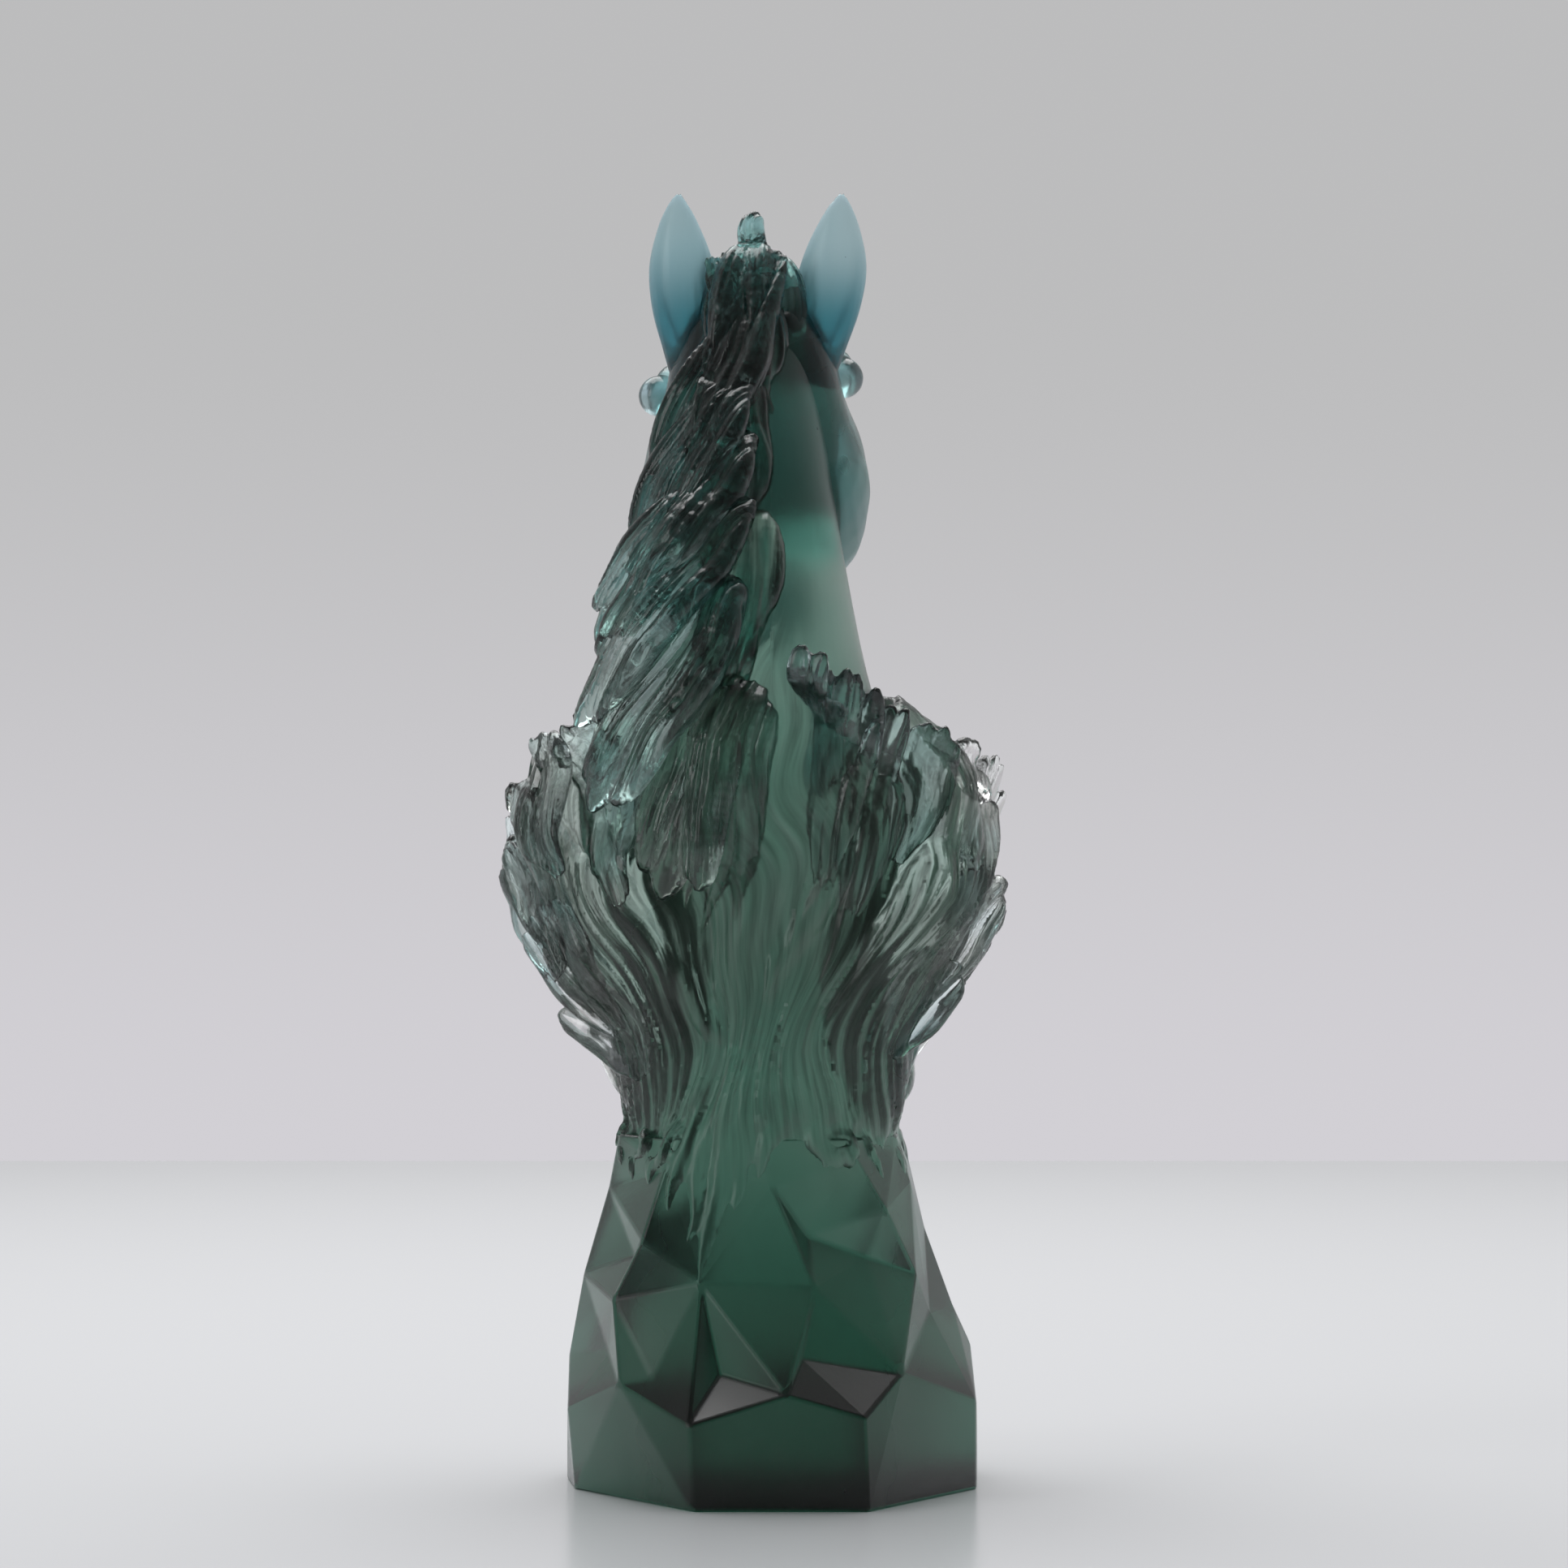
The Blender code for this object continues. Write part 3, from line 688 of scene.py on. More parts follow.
# Locks that run down over the rock: x and z where each starts and ends, and its width.
TRAILS = [
    ((9, 120), (20, 56), 8), ((13, 114), (24, 66), 7), ((6, 114), (16, 66), 7),
    ((18, 110), (28, 75), 7), ((2, 110), (11, 76), 6.5), ((24, 106), (33, 84), 7),
    ((-4, 108), (4, 85), 6.5), ((30, 104), (38, 90), 7), ((-12, 108), (-14, 88), 8),
    ((-20, 106), (-26, 91), 8),
]
WAIST = 112  # height where the fringe starts


def trail_forms(tree):
    """Thin locks that lie on the rock, and a short fringe all round the waist."""
    forms = []
    for start, end, width in TRAILS:
        places = []
        for i in range(6):
            x, z = (a + (b - a) * i / 5 for a, b in zip(start, end))
            x += 1.6 * math.sin(i * 1.3 + end[0]) * (i < 5)
            places.append(lay((x, 0, z), tree, (0, 1), 0.4))
        forms.append(blade(places, (0, 1, 0.2), width, 4.2, POINTED)[:2])
    chance = random.Random(3)
    for turn in range(-112, 113, 8):
        angle = math.radians(turn + chance.uniform(-2, 2))
        outward = Vector((math.sin(angle), math.cos(angle), 0))
        low, lean = chance.uniform(82, 93), chance.uniform(-0.05, 0.05)
        places = []
        for i in range(5):
            turned = Vector((math.sin(angle + lean * i), math.cos(angle + lean * i), 0)) * 20
            places.append(lay((2 + turned.x, turned.y, WAIST + (low - WAIST) * i / 4), tree, outward, 1.2))
        forms.append(blade(places, outward + Vector((0, 0, 0.2)), chance.uniform(8, 12), 5.0, POINTED)[:2])
    return forms


print(len(TRAILS), "locks run over the rock")

# %% [markdown]
# ## The wings
# Each wing is a thick fan that stands against the flank, with feathers laid over it in rows. The fan fills
# the outline, and the feather tips make its wavy edge. The fan is a stack of ovals that reach out from the
# trunk, with a few ridges laid over it. Trunk, trails and fans are melted together, joined to the rock with
# a Boolean while their skin is still plain, and only then carved, with the tool held off the rock.

# %% Wing fans
# Height, reach outwards from the middle, centre y, half depth.
LEFT_FAN = [
    (91, 36, -2, 34), (98, 40, 0, 34), (112, 42, 6, 30), (124, 47, 12, 25), (137, 53, 17, 21),
    (148, 57, 19, 19), (158, 62, 18, 18), (168, 67, 15, 17), (177, 70, 10, 15), (188, 65, 7, 14),
    (200, 60, 3, 12), (208, 52, 0, 9), (212, 45, -1, 5),
]
RIGHT_FAN = [
    (91, 31, -2, 34), (98, 35, 0, 34), (112, 38, 7, 28), (126, 40, 15, 22), (138, 45, 21, 18),
    (150, 52, 24, 15), (160, 58, 24, 14), (170, 58, 23, 13), (182, 58, 21, 12), (194, 56, 18, 12),
    (204, 50, 15, 11), (211, 43, 13, 9), (217, 34, 13, 6),
]
# Ridges and lobes on a fan: x and z of the places that each runs through, its width and its thickness.
LEFT_SWELLS = [
    ([(12, 122), (22, 134), (34, 150), (43, 164), (48, 178)], 10, 7),
    ([(34, 150), (54, 182), (64, 205)], 17, 8),
    ([(38, 146), (60, 174), (71, 193)], 16, 8),
    ([(38, 136), (62, 158), (73, 177)], 15, 8),
    ([(34, 124), (52, 142), (60, 158)], 15, 5),
]
RIGHT_SWELLS = [
    ([(4, 128), (-2, 144), (-13, 162), (-22, 173), (-30, 184)], 9, 7),
    ([(-22, 134), (-46, 164), (-59, 189)], 24, 9),
    ([(-30, 124), (-50, 146), (-62, 167)], 16, 7),
    ([(-20, 150), (-34, 186), (-46, 208)], 17, 7),
    ([(-8, 150), (-20, 190), (-32, 216)], 15, 6),
]
FANS = {"left": (1, LEFT_FAN, LEFT_SWELLS), "right": (-1, RIGHT_FAN, RIGHT_SWELLS)}
FAN_LEVELS = 40
SWELL = [(0.0, 0.25, 0.3), (0.3, 0.85, 0.9), (0.6, 1.0, 1.0), (0.85, 0.9, 0.9), (1.0, 0.45, 0.5)]


def fan_forms(side, rows, swells):
    """A fan as a stack of ovals, with its swells laid on it."""
    rings = []
    for i in range(FAN_LEVELS + 1):
        height = rows[0][0] + (rows[-1][0] - rows[0][0]) * i / FAN_LEVELS
        reach, y, half_depth = along_rows(rows, height)
        wide, deep = Vector((reach / 2, 0, 0)), Vector((0, half_depth, 0))
        rings.append(oval(Vector((side * reach / 2, y, height)), wide, deep, 2.4, 44))
    forms = [skin(rings)]
    tree = skin_of(forms[0], trunk_form(91.0, 192.0, 30))
    for course, width, thickness in swells:
        places = [lay((x, 0, z), tree, (0, 1), 1.2) for x, z in course]
        outward = Vector((course[-1][0] * 0.5, 60, 10))
        forms.append(blade(places, outward, width, thickness, SWELL)[:2])
    return forms


def carving_share(places):
    """How deep the tool goes: not into the chest or the neck's right side, and little at the foot."""
    x, y, z = places.T
    chest = np.maximum(np.clip((y + 20) / 40, 0, 1), np.clip((np.abs(x) - 36) / 6, 0, 1))
    turn = np.degrees(np.arctan2(x - 2.0, y))
    lean = np.clip((250 - z) * 0.5, 0, 24)
    hairy = np.clip((turn + 10 + lean) / 16, 0, 1) * np.clip((115 - turn) / 25, 0, 1)
    neck = np.clip((z - 196) / 20, 0, 1) * (np.abs(x) < 34)
    low = np.clip((z - 84) / 20, 0.2, 1.0)
    return (chest * (1 - neck) + hairy * neck) * low


def join_rock(body, rock):
    """One closed casting out of the body, while it is still plain, and the sharp rock."""
    union = body.modifiers.new("cast_together", "BOOLEAN")
    union.operation = "UNION"
    union.solver = "EXACT"
    union.object = rock
    settle(body)
    bpy.data.objects.remove(rock)
    return body


def build_body(rock):
    forms = [trunk_form(91.0, 326.0, 70)]
    forms += trail_forms(skin_of(forms[0], rock))
    forms += fan_forms(*FANS["left"]) + fan_forms(*FANS["right"])
    body = melt("body_casting", forms, CELL["body"], 3)
    rock_tree = skin_of(rock)
    body = join_rock(body, rock)
    places = places_of(body)
    share = carving_share(places)
    # The rock ends below 98 mm. A vertex that still lies on its skin is left uncarved.
    for i in np.nonzero(places[:, 2] < 98)[0]:
        if rock_tree.find_nearest(places[i])[3] < 0.02:
            share[i] = 0.0
    across, along = fan(places)
    return carve(body, across, along, share, width=8.5, lock=2.2, strand=1.5, hair=0.5, seed=2)


body = build_body(build_rock())
fans = {hand: skin_of(*fan_forms(*rest)) for hand, rest in FANS.items()}
body_tree = skin_of(body)
finish(body, BODY_GLASS, "body_glass", "torso", "neck", "faceted_base", "left_wing_root", "right_wing_root")
FACET = 1.28  # square millimetres, above which a face belongs to a flat facet
for face in body.data.polygons:
    face.use_smooth = face.area < FACET * MM**2
print("The casting has", len(body.data.polygons), "faces")

# %% [markdown]
# ## Feathers and locks
# A feather or a lock is a bundle: a few flat tapering blades that share a root and part towards their tips.
# The frame's node gives the line of the bundle, which we read by slicing its mesh level by level.
# A seeded random bend makes each blade differ, and the result is the same on every run.

# %% Read a node's line


def node_line(name, levels=6):
    """Centres of a node's horizontal slices, from its lowest to its highest, in millimetres."""
    mesh, places = nodes[name].data, places_of(nodes[name])
    ends = np.empty(len(mesh.edges) * 2, dtype=int)
    mesh.edges.foreach_get("vertices", ends)
    first, second = places[ends.reshape(-1, 2)[:, 0]], places[ends.reshape(-1, 2)[:, 1]]
    low, high = places[:, 2].min(), places[:, 2].max()
    line = []
    for i in range(levels):
        level = low + (high - low) * (0.03 + 0.94 * i / (levels - 1))
        crossing = (first[:, 2] - level) * (second[:, 2] - level) < 0
        a, b = first[crossing], second[crossing]
        cuts = a + (b - a) * ((level - a[:, 2]) / (b[:, 2] - a[:, 2]))[:, None]
        line.append(Vector((cuts.max(axis=0) + cuts.min(axis=0)) / 2))
    return line


def bundle(line, outward, width, thickness, shape, count, spread, seed, bend, stagger):
    """Blades side by side along a line, close at its start and apart at its end.

    spread is how far apart they stand, bend how much each sways, and stagger how far the outer ones lag.
    """
    chance = random.Random(seed)
    forms, lines = [], []
    for i in range(count):
        share = i / (count - 1) * 2 - 1
        places = []
        # Some of the outer blades of a long bundle stop one place short.
        shorter = abs(share) > 0.5 and len(line) > 4 and chance.random() < 0.35
        last = len(line) - (2 if shorter else 1)
        phase, size = chance.uniform(0, math.tau), chance.uniform(0.5, 1.0) * bend
        for k, place in enumerate(line[: last + 1]):
            t = k / last
            ahead = (line[min(k + 1, last)] - line[max(k - 1, 0)]).normalized()
            side = ahead.cross(Vector(outward)).normalized()
            sway = math.sin(phase + t * 5.0) * size * t
            lift = chance.uniform(-0.6, 0.9) * t
            shift = share * width * spread * (0.35 + 0.65 * t) + sway
            lag = ahead * stagger * abs(share) * width * t
            places.append(place + side * shift + Vector(outward).normalized() * lift - lag)
        wide, thick = width * chance.uniform(0.85, 1.1), thickness * chance.uniform(0.85, 1.15)
        points, faces, stations = blade(places, outward, wide, thick, shape)
        forms.append((points, faces))
        lines.append(stations)
    return forms, lines


# Shapes along a blade: a feather is broad near its tip, a lock in its middle, and a tress ends in a point.
FEATHER = [
    (0.0, 0.08, 0.1), (0.15, 0.4, 0.4), (0.35, 0.85, 0.8), (0.6, 1.0, 1.0), (0.85, 0.9, 0.9),
    (0.95, 0.6, 0.65), (1.0, 0.2, 0.3),
]
LOCK = [
    (0.0, 0.15, 0.2), (0.1, 0.6, 0.65), (0.25, 0.9, 0.95), (0.5, 1.0, 1.0), (0.8, 0.85, 0.9),
    (0.94, 0.55, 0.6), (1.0, 0.15, 0.2),
]
TRESS = [
    (0.0, 0.15, 0.2), (0.15, 0.8, 0.85), (0.35, 1.0, 1.0), (0.6, 0.7, 0.75), (0.8, 0.38, 0.45),
    (1.0, 0.05, 0.1),
]
FRONT = 8  # a feather whose lowest place lies in front of this y grows out of the front of the wing


def front_sweep(hand, tip):
    """A line round the flank, from the rear of the fan to a front feather's tip, kept inside the outline."""
    start = Vector((tip.x * 0.62, 24.0, max(tip.z - 62, 104.0)))
    aside = Vector((math.copysign(1.0, tip.x), 0, 0))
    places = [start, start.lerp(tip, 0.35) + aside * 6, start.lerp(tip, 0.7) + aside * 4, tip]
    for place in places[:3]:
        reach = along_rows(FANS[hand][1], place.z)[0] - 3
        place.x = math.copysign(min(abs(place.x), reach), place.x)
    return places, aside + Vector((0, 0.25, 0.1))


def build_feather(name, seed):
    line = node_line(name)
    hand = name.split("_")[0]
    if line[0].y < FRONT:
        places, outward = front_sweep(hand, line[-1])
        forms, lines = bundle(places, outward, 11.0, 5.0, FEATHER, 4, 0.85, seed, bend=1.6, stagger=0.6)
    else:
        middle_of_fan = Vector((24 if hand == "left" else -22, 0, 0))
        outward = Vector((line[2].x - middle_of_fan.x, line[2].y, 0)).normalized() + Vector((0, 0, 0.3))
        places = []
        for k, place in enumerate(line):
            # The root lies on the fan, and the last two places rise to where the node has them.
            on_skin = lay(place, fans[hand], place - middle_of_fan, 1.6)
            places.append(on_skin.lerp(place, max(0.0, k - 3) / 2))
        forms, lines = bundle(places[1:], outward, 9.0, 4.6, FEATHER, 4, 0.72, seed, bend=1.3, stagger=0.45)
    feather = melt(name + "_carved", forms, CELL["feather"], 4)
    across, along = follow(places_of(feather), lines)
    return carve(feather, across, along, width=6.5, lock=0.8, strand=0.5, hair=0.25, seed=seed)


feathers = []
for number, name in enumerate(sorted(n for n in nodes if "_feather_" in n)):
    feathers.append(finish(build_feather(name, 30 + number), FEATHER_GLASS, "feather_glass", name))
print("Feathers:", len(feathers), "with", sum(len(f.data.polygons) for f in feathers), "faces")

# %% [markdown]
# ## The mane
# The mane starts between the ears, runs down the crest of the neck and is swept to the horse's left, where
# its locks end in curls that make a scalloped outline. Each lock is a bundle like a feather, but softer and
# more bent. The tresses down the crest take in less colour than the rest, because they lie over thick
# glass.

# %% Mane locks


CREST = 24  # a lock whose end has a smaller x than this lies along the crest


def build_lock(name, seed):
    line = node_line(name)[::-1]
    middle = line[3]
    centre = along_rows(TRUNK, middle.z)
    outward = Vector((middle.x - centre[0], middle.y - centre[1], 0)).normalized() + Vector((0, 0, 0.15))
    # A lock that ends low is swung out and one that ends high is swung in, so the mane widens downwards.
    lean = min(max((262 - line[-1].z) / 6, -5), 5)
    line = [place + Vector((lean * k / 5, 0, 0)) for k, place in enumerate(line)]
    shape = LOCK
    if line[-1].x < CREST:
        # Locks down the crest lie on the body and run out into the hair of the back.
        line = [place + Vector((7, 0, 0)) for place in line]
        for k, place in enumerate(line):
            line[k] = lay(place, body_tree, (0.25, 1), -1.5 + 0.7 * k)
        shape = TRESS
    lead = 2.1 if line[0].z > 310 else 0.7
    start = line[0] + (line[0] - line[1]) * lead - outward * 2.0
    forms, lines = bundle([start] + line, outward, 17.0, 11.0, shape, 3, 0.42, seed, bend=2.0, stagger=0.35)
    lock = melt(name + "_carved", forms, CELL["lock"], 3)
    across, along = follow(places_of(lock), lines)
    calm_tip = np.clip((along.max() - along) / 16, 0.2, 1)
    return carve(lock, across, along, calm_tip, width=7.0, lock=2.0, strand=1.2, hair=0.4, seed=seed)


locks = []
for number, name in enumerate(sorted(n for n in nodes if n.startswith("mane_lock_"))):
    glass = TRESS_GLASS if node_line(name)[0].x < CREST else MANE_GLASS
    locks.append(finish(build_lock(name, 60 + number), glass, "mane_glass", name))
print("Locks:", len(locks), "with", sum(len(f.data.polygons) for f in locks), "faces")

# %% [markdown]
# ## The forelock
# A small twist of hair stands up between the ears, and the rest of the forelock falls over the brow and to
# the sides. Each tuft is one blade.

# %% Forelock
# The places that each tuft runs through, its width and its thickness.
TUFTS = [
    ([(4, -8, 322), (5, -9, 338), (6, -7, 347), (4, -8, 353)], 8, 8),
    ([(6, -14, 324), (10, -12, 336), (14, -8, 330), (17, -4, 316)], 11, 11),
    ([(4, -14, 324), (1, -11, 336), (-3, -7, 331), (-6, -4, 317)], 11, 11),
    ([(5, -10, 326), (6, -20, 342), (6, -36, 332), (5, -54, 312)], 13, 8),
    ([(5, -10, 326), (12, -20, 338), (15, -34, 328), (16, -50, 308)], 10, 7),
    ([(5, -10, 326), (-1, -20, 338), (-5, -34, 328), (-6, -50, 309)], 10, 7),
    ([(5, -12, 330), (8, -4, 337), (12, 2, 326), (15, 7, 306)], 12, 12),
    ([(5, -12, 330), (4, -4, 338), (4, 3, 328), (3, 9, 306)], 12, 12),
]


def build_forelock():
    forms, lines = [], []
    for places, width, thickness in TUFTS:
        middle = Vector(places[2])
        outward = Vector((middle.x - 5, middle.y + 12, 12))
        points, faces, line = blade([Vector(p) for p in places], outward, width, thickness, LOCK)
        forms.append((points, faces))
        lines.append(line)
    tuft = melt("forelock_carved", forms, CELL["tuft"], 3)
    across, along = follow(places_of(tuft), lines)
    return carve(tuft, across, along, width=5.0, lock=1.3, strand=0.8, hair=0.3, seed=80)


forelock = finish(build_forelock(), MANE_GLASS, "mane_glass", "forelock")
print("Forelock:", len(forelock.data.polygons), "faces")

# %% [markdown]
# ## The head
# A horse's head is a long wedge: broad at the brow, with round cheek plates, then narrow down to the
# muzzle. We loft the wedge in the head's own axes, melt in the cheeks, lids and nostril rims, and then
# press and pull the soft skin with strokes, each one a place, a size and a push, as a thumb does on clay.

# %% Head axes and strokes
POLL = Vector((5.5, -10, 331))
MUZZLE = Vector((1.5, -97, 222))
HEAD_LENGTH = (MUZZLE - POLL).length
AHEAD = (MUZZLE - POLL).normalized()
ACROSS = Vector((0, 0, 1)).cross(AHEAD).normalized()
BROW = AHEAD.cross(ACROSS).normalized()
# Share of the length, half width, half depth, drop of the middle below the axis.
HEAD = [
    (0.00, 13, 9, 6), (0.06, 19, 15, 8), (0.16, 25, 23, 11), (0.28, 28, 29, 14), (0.40, 27.5, 31, 14),
    (0.52, 23, 27, 12), (0.64, 17, 20, 8), (0.76, 15, 17, 6), (0.88, 16, 17, 6), (0.96, 13, 13, 6),
    (1.00, 6, 7, 6),
]
HEAD_LEVELS = 44


def in_head(side, ahead, rise):
    """A place in the head: millimetres to its left, from the poll towards the muzzle, and out of the face."""
    return POLL + ACROSS * side + AHEAD * ahead + BROW * rise


# Strokes on both sides of the head: side, ahead, rise, radius, and how far the skin is pulled out.
SIDE_STROKES = [
    (27, 37, 3, 8, -1.6), (25, 30, 14, 8, 2.2), (17, 20, 14, 8, -2.4),  # socket, brow and hollow above it
    (26, 52, -20, 19, 3.6), (22, 84, -12, 12, -2.6),  # cheek plate, and the hollow in front of it
    (21, 62, 1, 6, 1.6), (19, 74, 0, 6, 1.6), (17, 86, -1, 6, 1.2), (13, 92, 9, 9, -1.8),  # ridge of the face
    (13, 122, 3, 7, 2.6), (15, 128, 1, 3.6, -4.6), (12, 131, 0, 3.2, -3.4),  # nostril
    (16, 112, -12, 3, -2.2), (15, 117, -13, 3, -2.4), (14, 122, -13, 3, -2.6),  # mouth, from its corner
    (12, 127, -13, 3, -2.6), (10, 131, -13, 3, -2.6), (7, 135, -13, 3, -2.6),
    (26, 68, -34, 10, 1.6), (12, 60, -44, 12, -2.0), (28, 30, -8, 12, -2.0),  # jaw and temple
    (8, 140, -9, 5, 1.4),  # lip
]
STROKES = [(hand * stroke[0], *stroke[1:]) for hand in (1, -1) for stroke in SIDE_STROKES]
STROKES += [(0, 136, -13, 3.4, -2.8), (0, 128, -24, 9, 2.6), (0, 108, -25, 9, -2.2), (0, 60, 17, 14, -1.2)]


def press(piece, strokes):
    """Moves the skin along its normals by each stroke's push, fading out over its radius."""
    places = places_of(piece)
    flat = np.empty(len(places) * 3, dtype=np.float32)
    piece.data.vertex_normals.foreach_get("vector", flat)
    push = np.zeros(len(places))
    for side, ahead, rise, radius, amount in strokes:
        gap = np.linalg.norm(places - np.array(in_head(side, ahead, rise)), axis=1)
        push += amount * np.exp(-((gap / radius) ** 2))
    moved = (places + flat.reshape(-1, 3) * push[:, None]) * MM
    piece.data.vertices.foreach_set("co", moved.astype(np.float32).ravel())
    piece.data.update()


print("Head length", round(HEAD_LENGTH), "mm,", len(STROKES), "strokes")

# %% Head
EYES = {"left_eye": (28.0, 38, 3), "right_eye": (-24.5, 32, 3)}  # left, ahead and rise in the head's axes


def build_head():
    rings = []
    for i in range(HEAD_LEVELS + 1):
        share = i / HEAD_LEVELS
        half_width, half_depth, drop = along_rows(HEAD, share)
        centre = in_head(0, share * HEAD_LENGTH, -drop)
        rings.append(oval(centre, ACROSS * half_width, BROW * half_depth, 2.3, 40))
    forms = [skin(rings)]
    for side, ahead, rise in EYES.values():
        forms.append(ball(in_head(side * 0.84, ahead, rise + 1), (7.5, 8.5, 8)))
    for side in (1, -1):
        forms.append(ball(in_head(side * 19, 54, -22), (10, 25, 21), tilt=-50))
        forms.append(ball(in_head(side * 11, 122, 0), (6, 8, 6)))
    head = melt("head_carved", forms, CELL["head"], 8)
    press(head, STROKES)
    places = places_of(head)
    across = (places - np.array(POLL)) @ np.array(ACROSS)
    along = (places - np.array(POLL)) @ np.array(AHEAD)
    faint = np.full(len(places), 0.25)
    return carve(head, across, along, faint, width=7.0, lock=0.6, strand=0.3, hair=0.1, seed=90)


head = finish(build_head(), HEAD_GLASS, "head_glass", "head")
print("Head:", len(head.data.polygons), "faces")

# %% Eyes
EYE_RADIUS = 5.8
for name, eye_place in EYES.items():
    eyeball = ball(in_head(*eye_place), [EYE_RADIUS] * 3, sides=32)
    finish(melt(name + "_ball", [eyeball], CELL["eye"], 6), EYE_GLASS, "eye_glass", name)

# %% [markdown]
# ## The ears
# An ear is a leaf rolled into a cup: open to the front, closed at its foot, thin at the rim and thick where
# it grows from the skull. So its section is a C, and the C opens and thins from the foot to the tip.

# %% Ears
# Share of the length, centre x, z, half width, wall, and how far the C runs round to each side in degrees.
LEFT_EAR = [
    (0.0, 20, 303, 7.5, 6.0, 165), (0.2, 22.5, 315, 8.6, 5.0, 150), (0.45, 24.6, 327, 9.6, 3.4, 125),
    (0.65, 25.6, 338, 9.2, 2.6, 110), (0.85, 26.3, 349, 5.8, 2.2, 100), (0.95, 26.4, 355, 2.8, 1.8, 95),
    (1.0, 26.2, 358, 0.7, 1.0, 90),
]
RIGHT_EAR = [
    (0.0, -9, 303, 7.5, 6.0, 165), (0.2, -12.5, 315, 8.6, 5.0, 150), (0.45, -15.6, 327, 9.6, 3.4, 125),
    (0.65, -17.4, 338, 9.3, 2.6, 110), (0.85, -18.6, 349, 6.0, 2.2, 100), (0.95, -19.2, 355, 2.9, 1.8, 95),
    (1.0, -19.4, 358, 0.7, 1.0, 90),
]


def build_ear(name, rows, facing):
    """An ear as a stack of C sections. facing turns its opening outwards, in degrees."""
    rings, levels, steps = [], 36, 16
    turn = Matrix.Rotation(math.radians(facing), 3, "Z")
    for i in range(levels + 1):
        x, z, half_width, wall, reach = along_rows(rows, i / levels)
        centre = Vector((x, -13 + 4 * (i / levels), z))
        ring = []
        # The ring runs along the outer side of the C and back along its inner side, which thins to the rims.
        for inner, run in ((False, range(-steps, steps + 1, 2)), (True, range(steps, -steps - 1, -2))):
            for step in run:
                angle, size = math.radians(reach * step / steps), half_width
                if inner:
                    size = max(half_width - wall * (1 - (step / (steps + 1)) ** 4), half_width * 0.2)
                across, back = math.sin(angle) * size, (math.cos(angle) - 0.25) * size * 0.8
                ring.append(centre + turn @ Vector((across, back, 0)))
        rings.append(ring)
    ear = melt(name + "_cup", [skin(rings)], CELL["ear"], 5)
    places = places_of(ear)
    faint = np.full(len(places), 0.4)
    return carve(ear, places[:, 0], places[:, 2], faint, width=7, lock=0.5, strand=0.2, hair=0.0, seed=95)


left_ear = finish(build_ear("left_ear", LEFT_EAR, -8), EAR_GLASS, "ear_glass", "left_ear")
right_ear = finish(build_ear("right_ear", RIGHT_EAR, 8), EAR_GLASS, "ear_glass", "right_ear")
print("Ears:", len(left_ear.data.polygons) + len(right_ear.data.polygons), "faces")

# %% [markdown]
# ## Table, light and camera
# Glass shows what is around it, so it needs a soft room on all sides. The world is a pale grey that gets a
# little lighter towards the horizon, and much brighter on the side that the camera looks at, so that the
# glass glows from behind. A large soft light hangs overhead and a smaller one stands to the side, like a
# window. The camera stands level with the chest, behind the horse, with a long lens.

# %% Table
TABLE_X, TABLE_Y = 1.4, 1.35  # half sizes in metres
table_mesh = bpy.data.meshes.new("table")
corners = [(-TABLE_X, -TABLE_Y, 0), (TABLE_X, -TABLE_Y, 0), (TABLE_X, TABLE_Y, 0), (-TABLE_X, TABLE_Y, 0)]
table_mesh.from_pydata(corners, [], [(0, 1, 2, 3)])
table = bpy.data.objects.new("table", table_mesh)
bpy.context.scene.collection.objects.link(table)
table_paint = bpy.data.materials.new("white_table")
table_paint.use_nodes = True
table_shader = table_paint.node_tree.nodes["Principled BSDF"]
table_shader.inputs["Base Color"].default_value = (0.78, 0.79, 0.815, 1.0)
table_shader.inputs["Roughness"].default_value = 0.22
table_mesh.materials.append(table_paint)

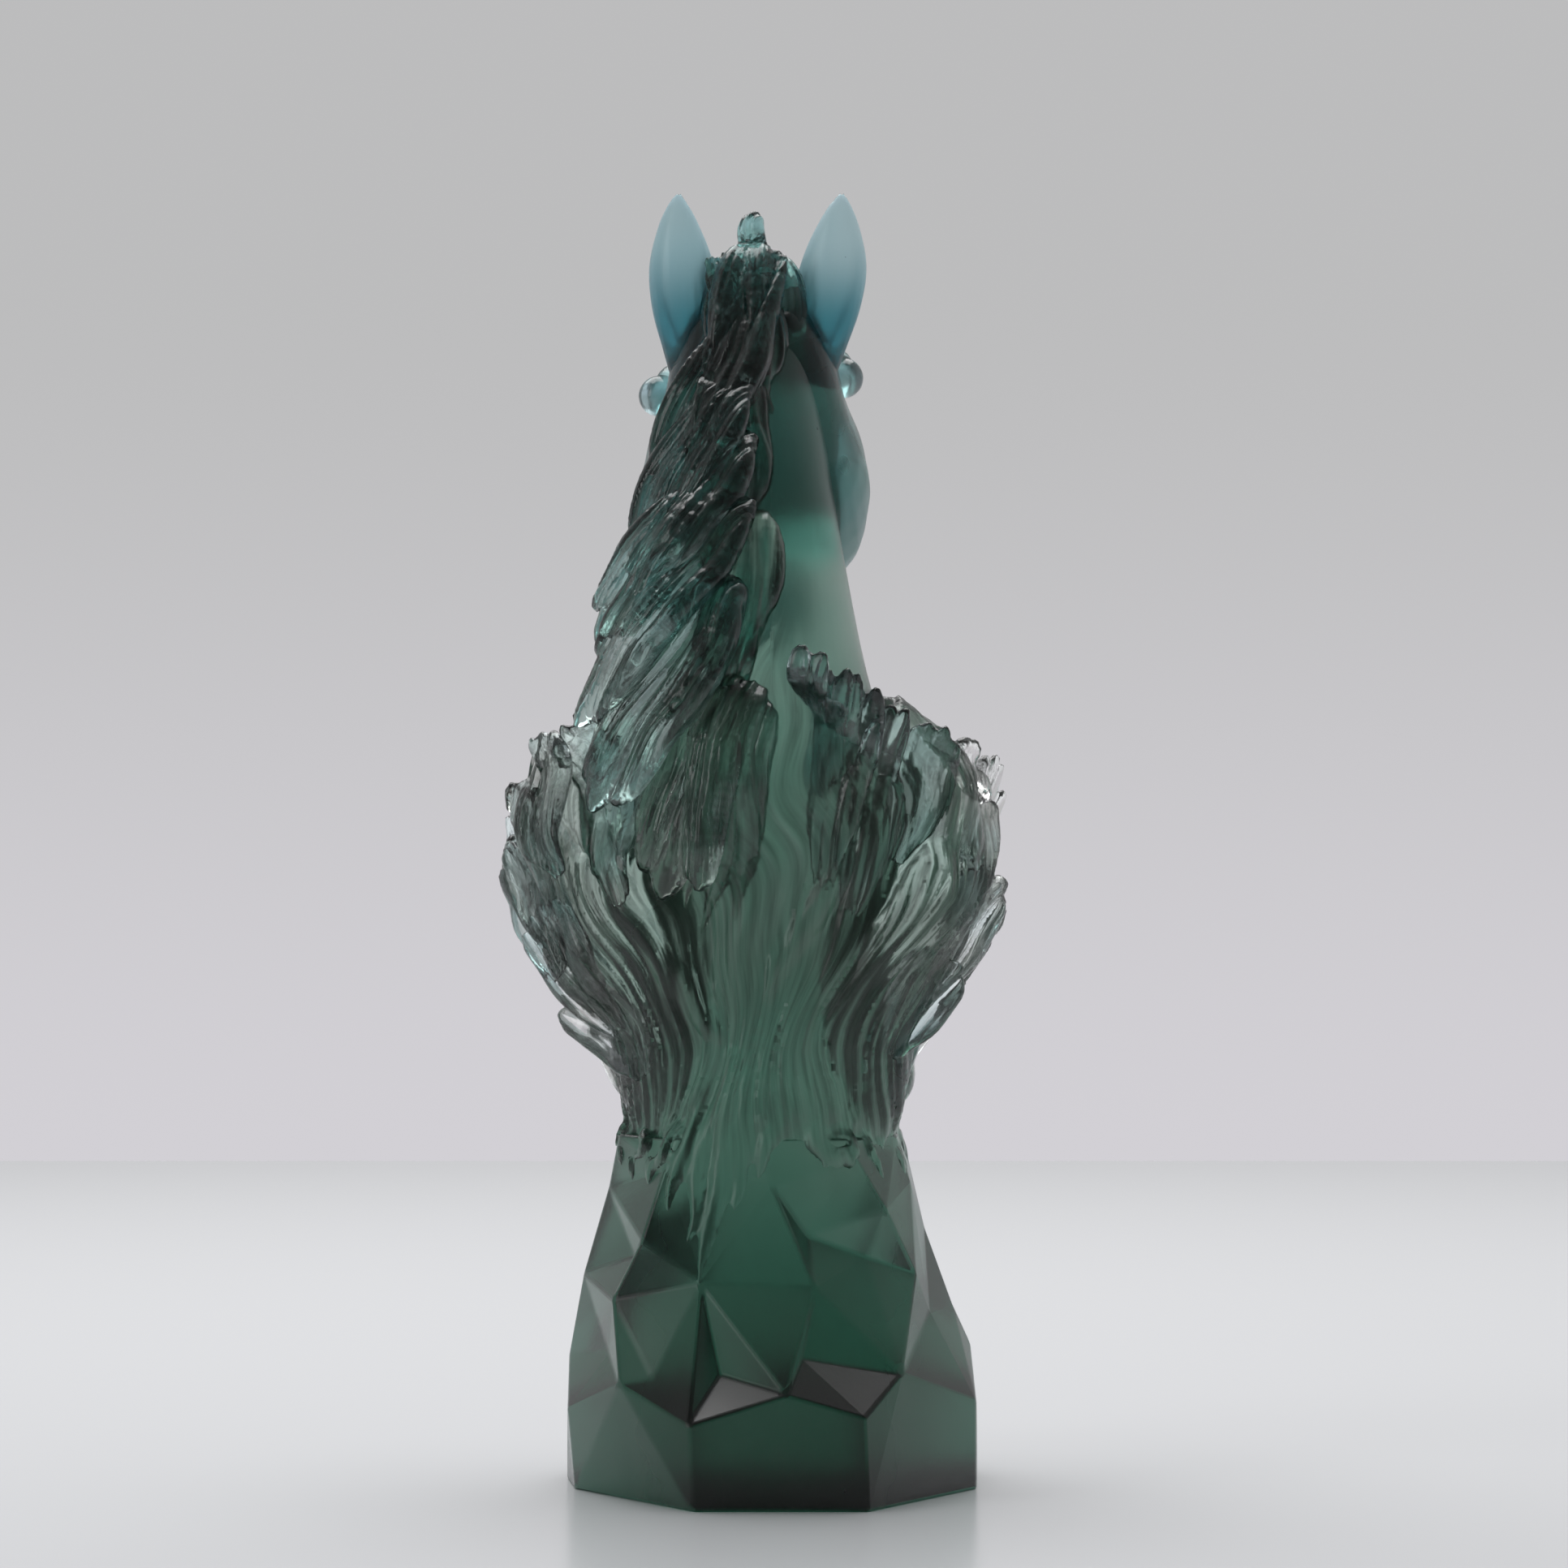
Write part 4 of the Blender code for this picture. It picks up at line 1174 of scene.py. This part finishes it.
# %% World and lights
world = bpy.data.worlds.new("pale_room")
bpy.context.scene.world = world
world.use_nodes = True
sky = world.node_tree
background = sky.nodes["Background"]
direction = sky.nodes.new("ShaderNodeTexCoord")
split = sky.nodes.new("ShaderNodeSeparateXYZ")
AT_HORIZON, ABOVE = (0.645, 0.63, 0.665, 1.0), (0.505, 0.505, 0.51, 1.0)
sky.links.new(direction.outputs["Generated"], split.inputs[0])


def fading(axis, low, high, at_low, at_high):
    """A value that goes from at_low to at_high along one axis of the view direction."""
    fade = sky.nodes.new("ShaderNodeMapRange")
    fade.interpolation_type = "SMOOTHSTEP"
    for key, value in (("From Min", low), ("From Max", high), ("To Min", at_low), ("To Max", at_high)):
        fade.inputs[key].default_value = value
    sky.links.new(split.outputs[axis], fade.inputs["Value"])
    return fade.outputs[0]


room = sky.nodes.new("ShaderNodeMix")
room.data_type = "RGBA"
room.inputs["A"].default_value = AT_HORIZON
room.inputs["B"].default_value = ABOVE
sky.links.new(fading("Z", -0.07, 0.09, 0.0, 1.0), room.inputs["Factor"])
sky.links.new(room.outputs["Result"], background.inputs["Color"])
sky.links.new(fading("Y", -0.6, 0.75, 1.0, 0.24), background.inputs["Strength"])


def softbox(name, place, aim, size, power):
    data = bpy.data.lights.new(name, "AREA")
    data.shape = "RECTANGLE"
    data.size, data.size_y = size
    data.energy = power
    lamp = bpy.data.objects.new(name, data)
    lamp.location = place
    lamp.rotation_euler = (Vector(aim) - Vector(place)).to_track_quat("-Z", "Y").to_euler()
    bpy.context.scene.collection.objects.link(lamp)


softbox("overhead", (0.1, -0.6, 1.5), (0, 0.0, 0.0), (1.6, 1.4), 25)
softbox("left_window", (1.3, 0.9, 0.7), (0, 0, 0.2), (0.5, 1.0), 3)

# %% Camera
camera_data = bpy.data.cameras.new("camera")
camera_data.sensor_width = 36.0
camera_data.lens = 132.3
camera = bpy.data.objects.new("camera", camera_data)
camera.location = (-0.0033, 1.6, 0.193)
camera.rotation_euler = (math.radians(90), 0.0, math.radians(180))
bpy.context.scene.collection.objects.link(camera)
bpy.context.scene.camera = camera
bpy.context.scene.view_settings.view_transform = "Standard"
bpy.context.scene.cycles.max_bounces = 16
bpy.context.scene.cycles.transmission_bounces = 16
print("Camera at", tuple(round(v, 3) for v in camera.location))
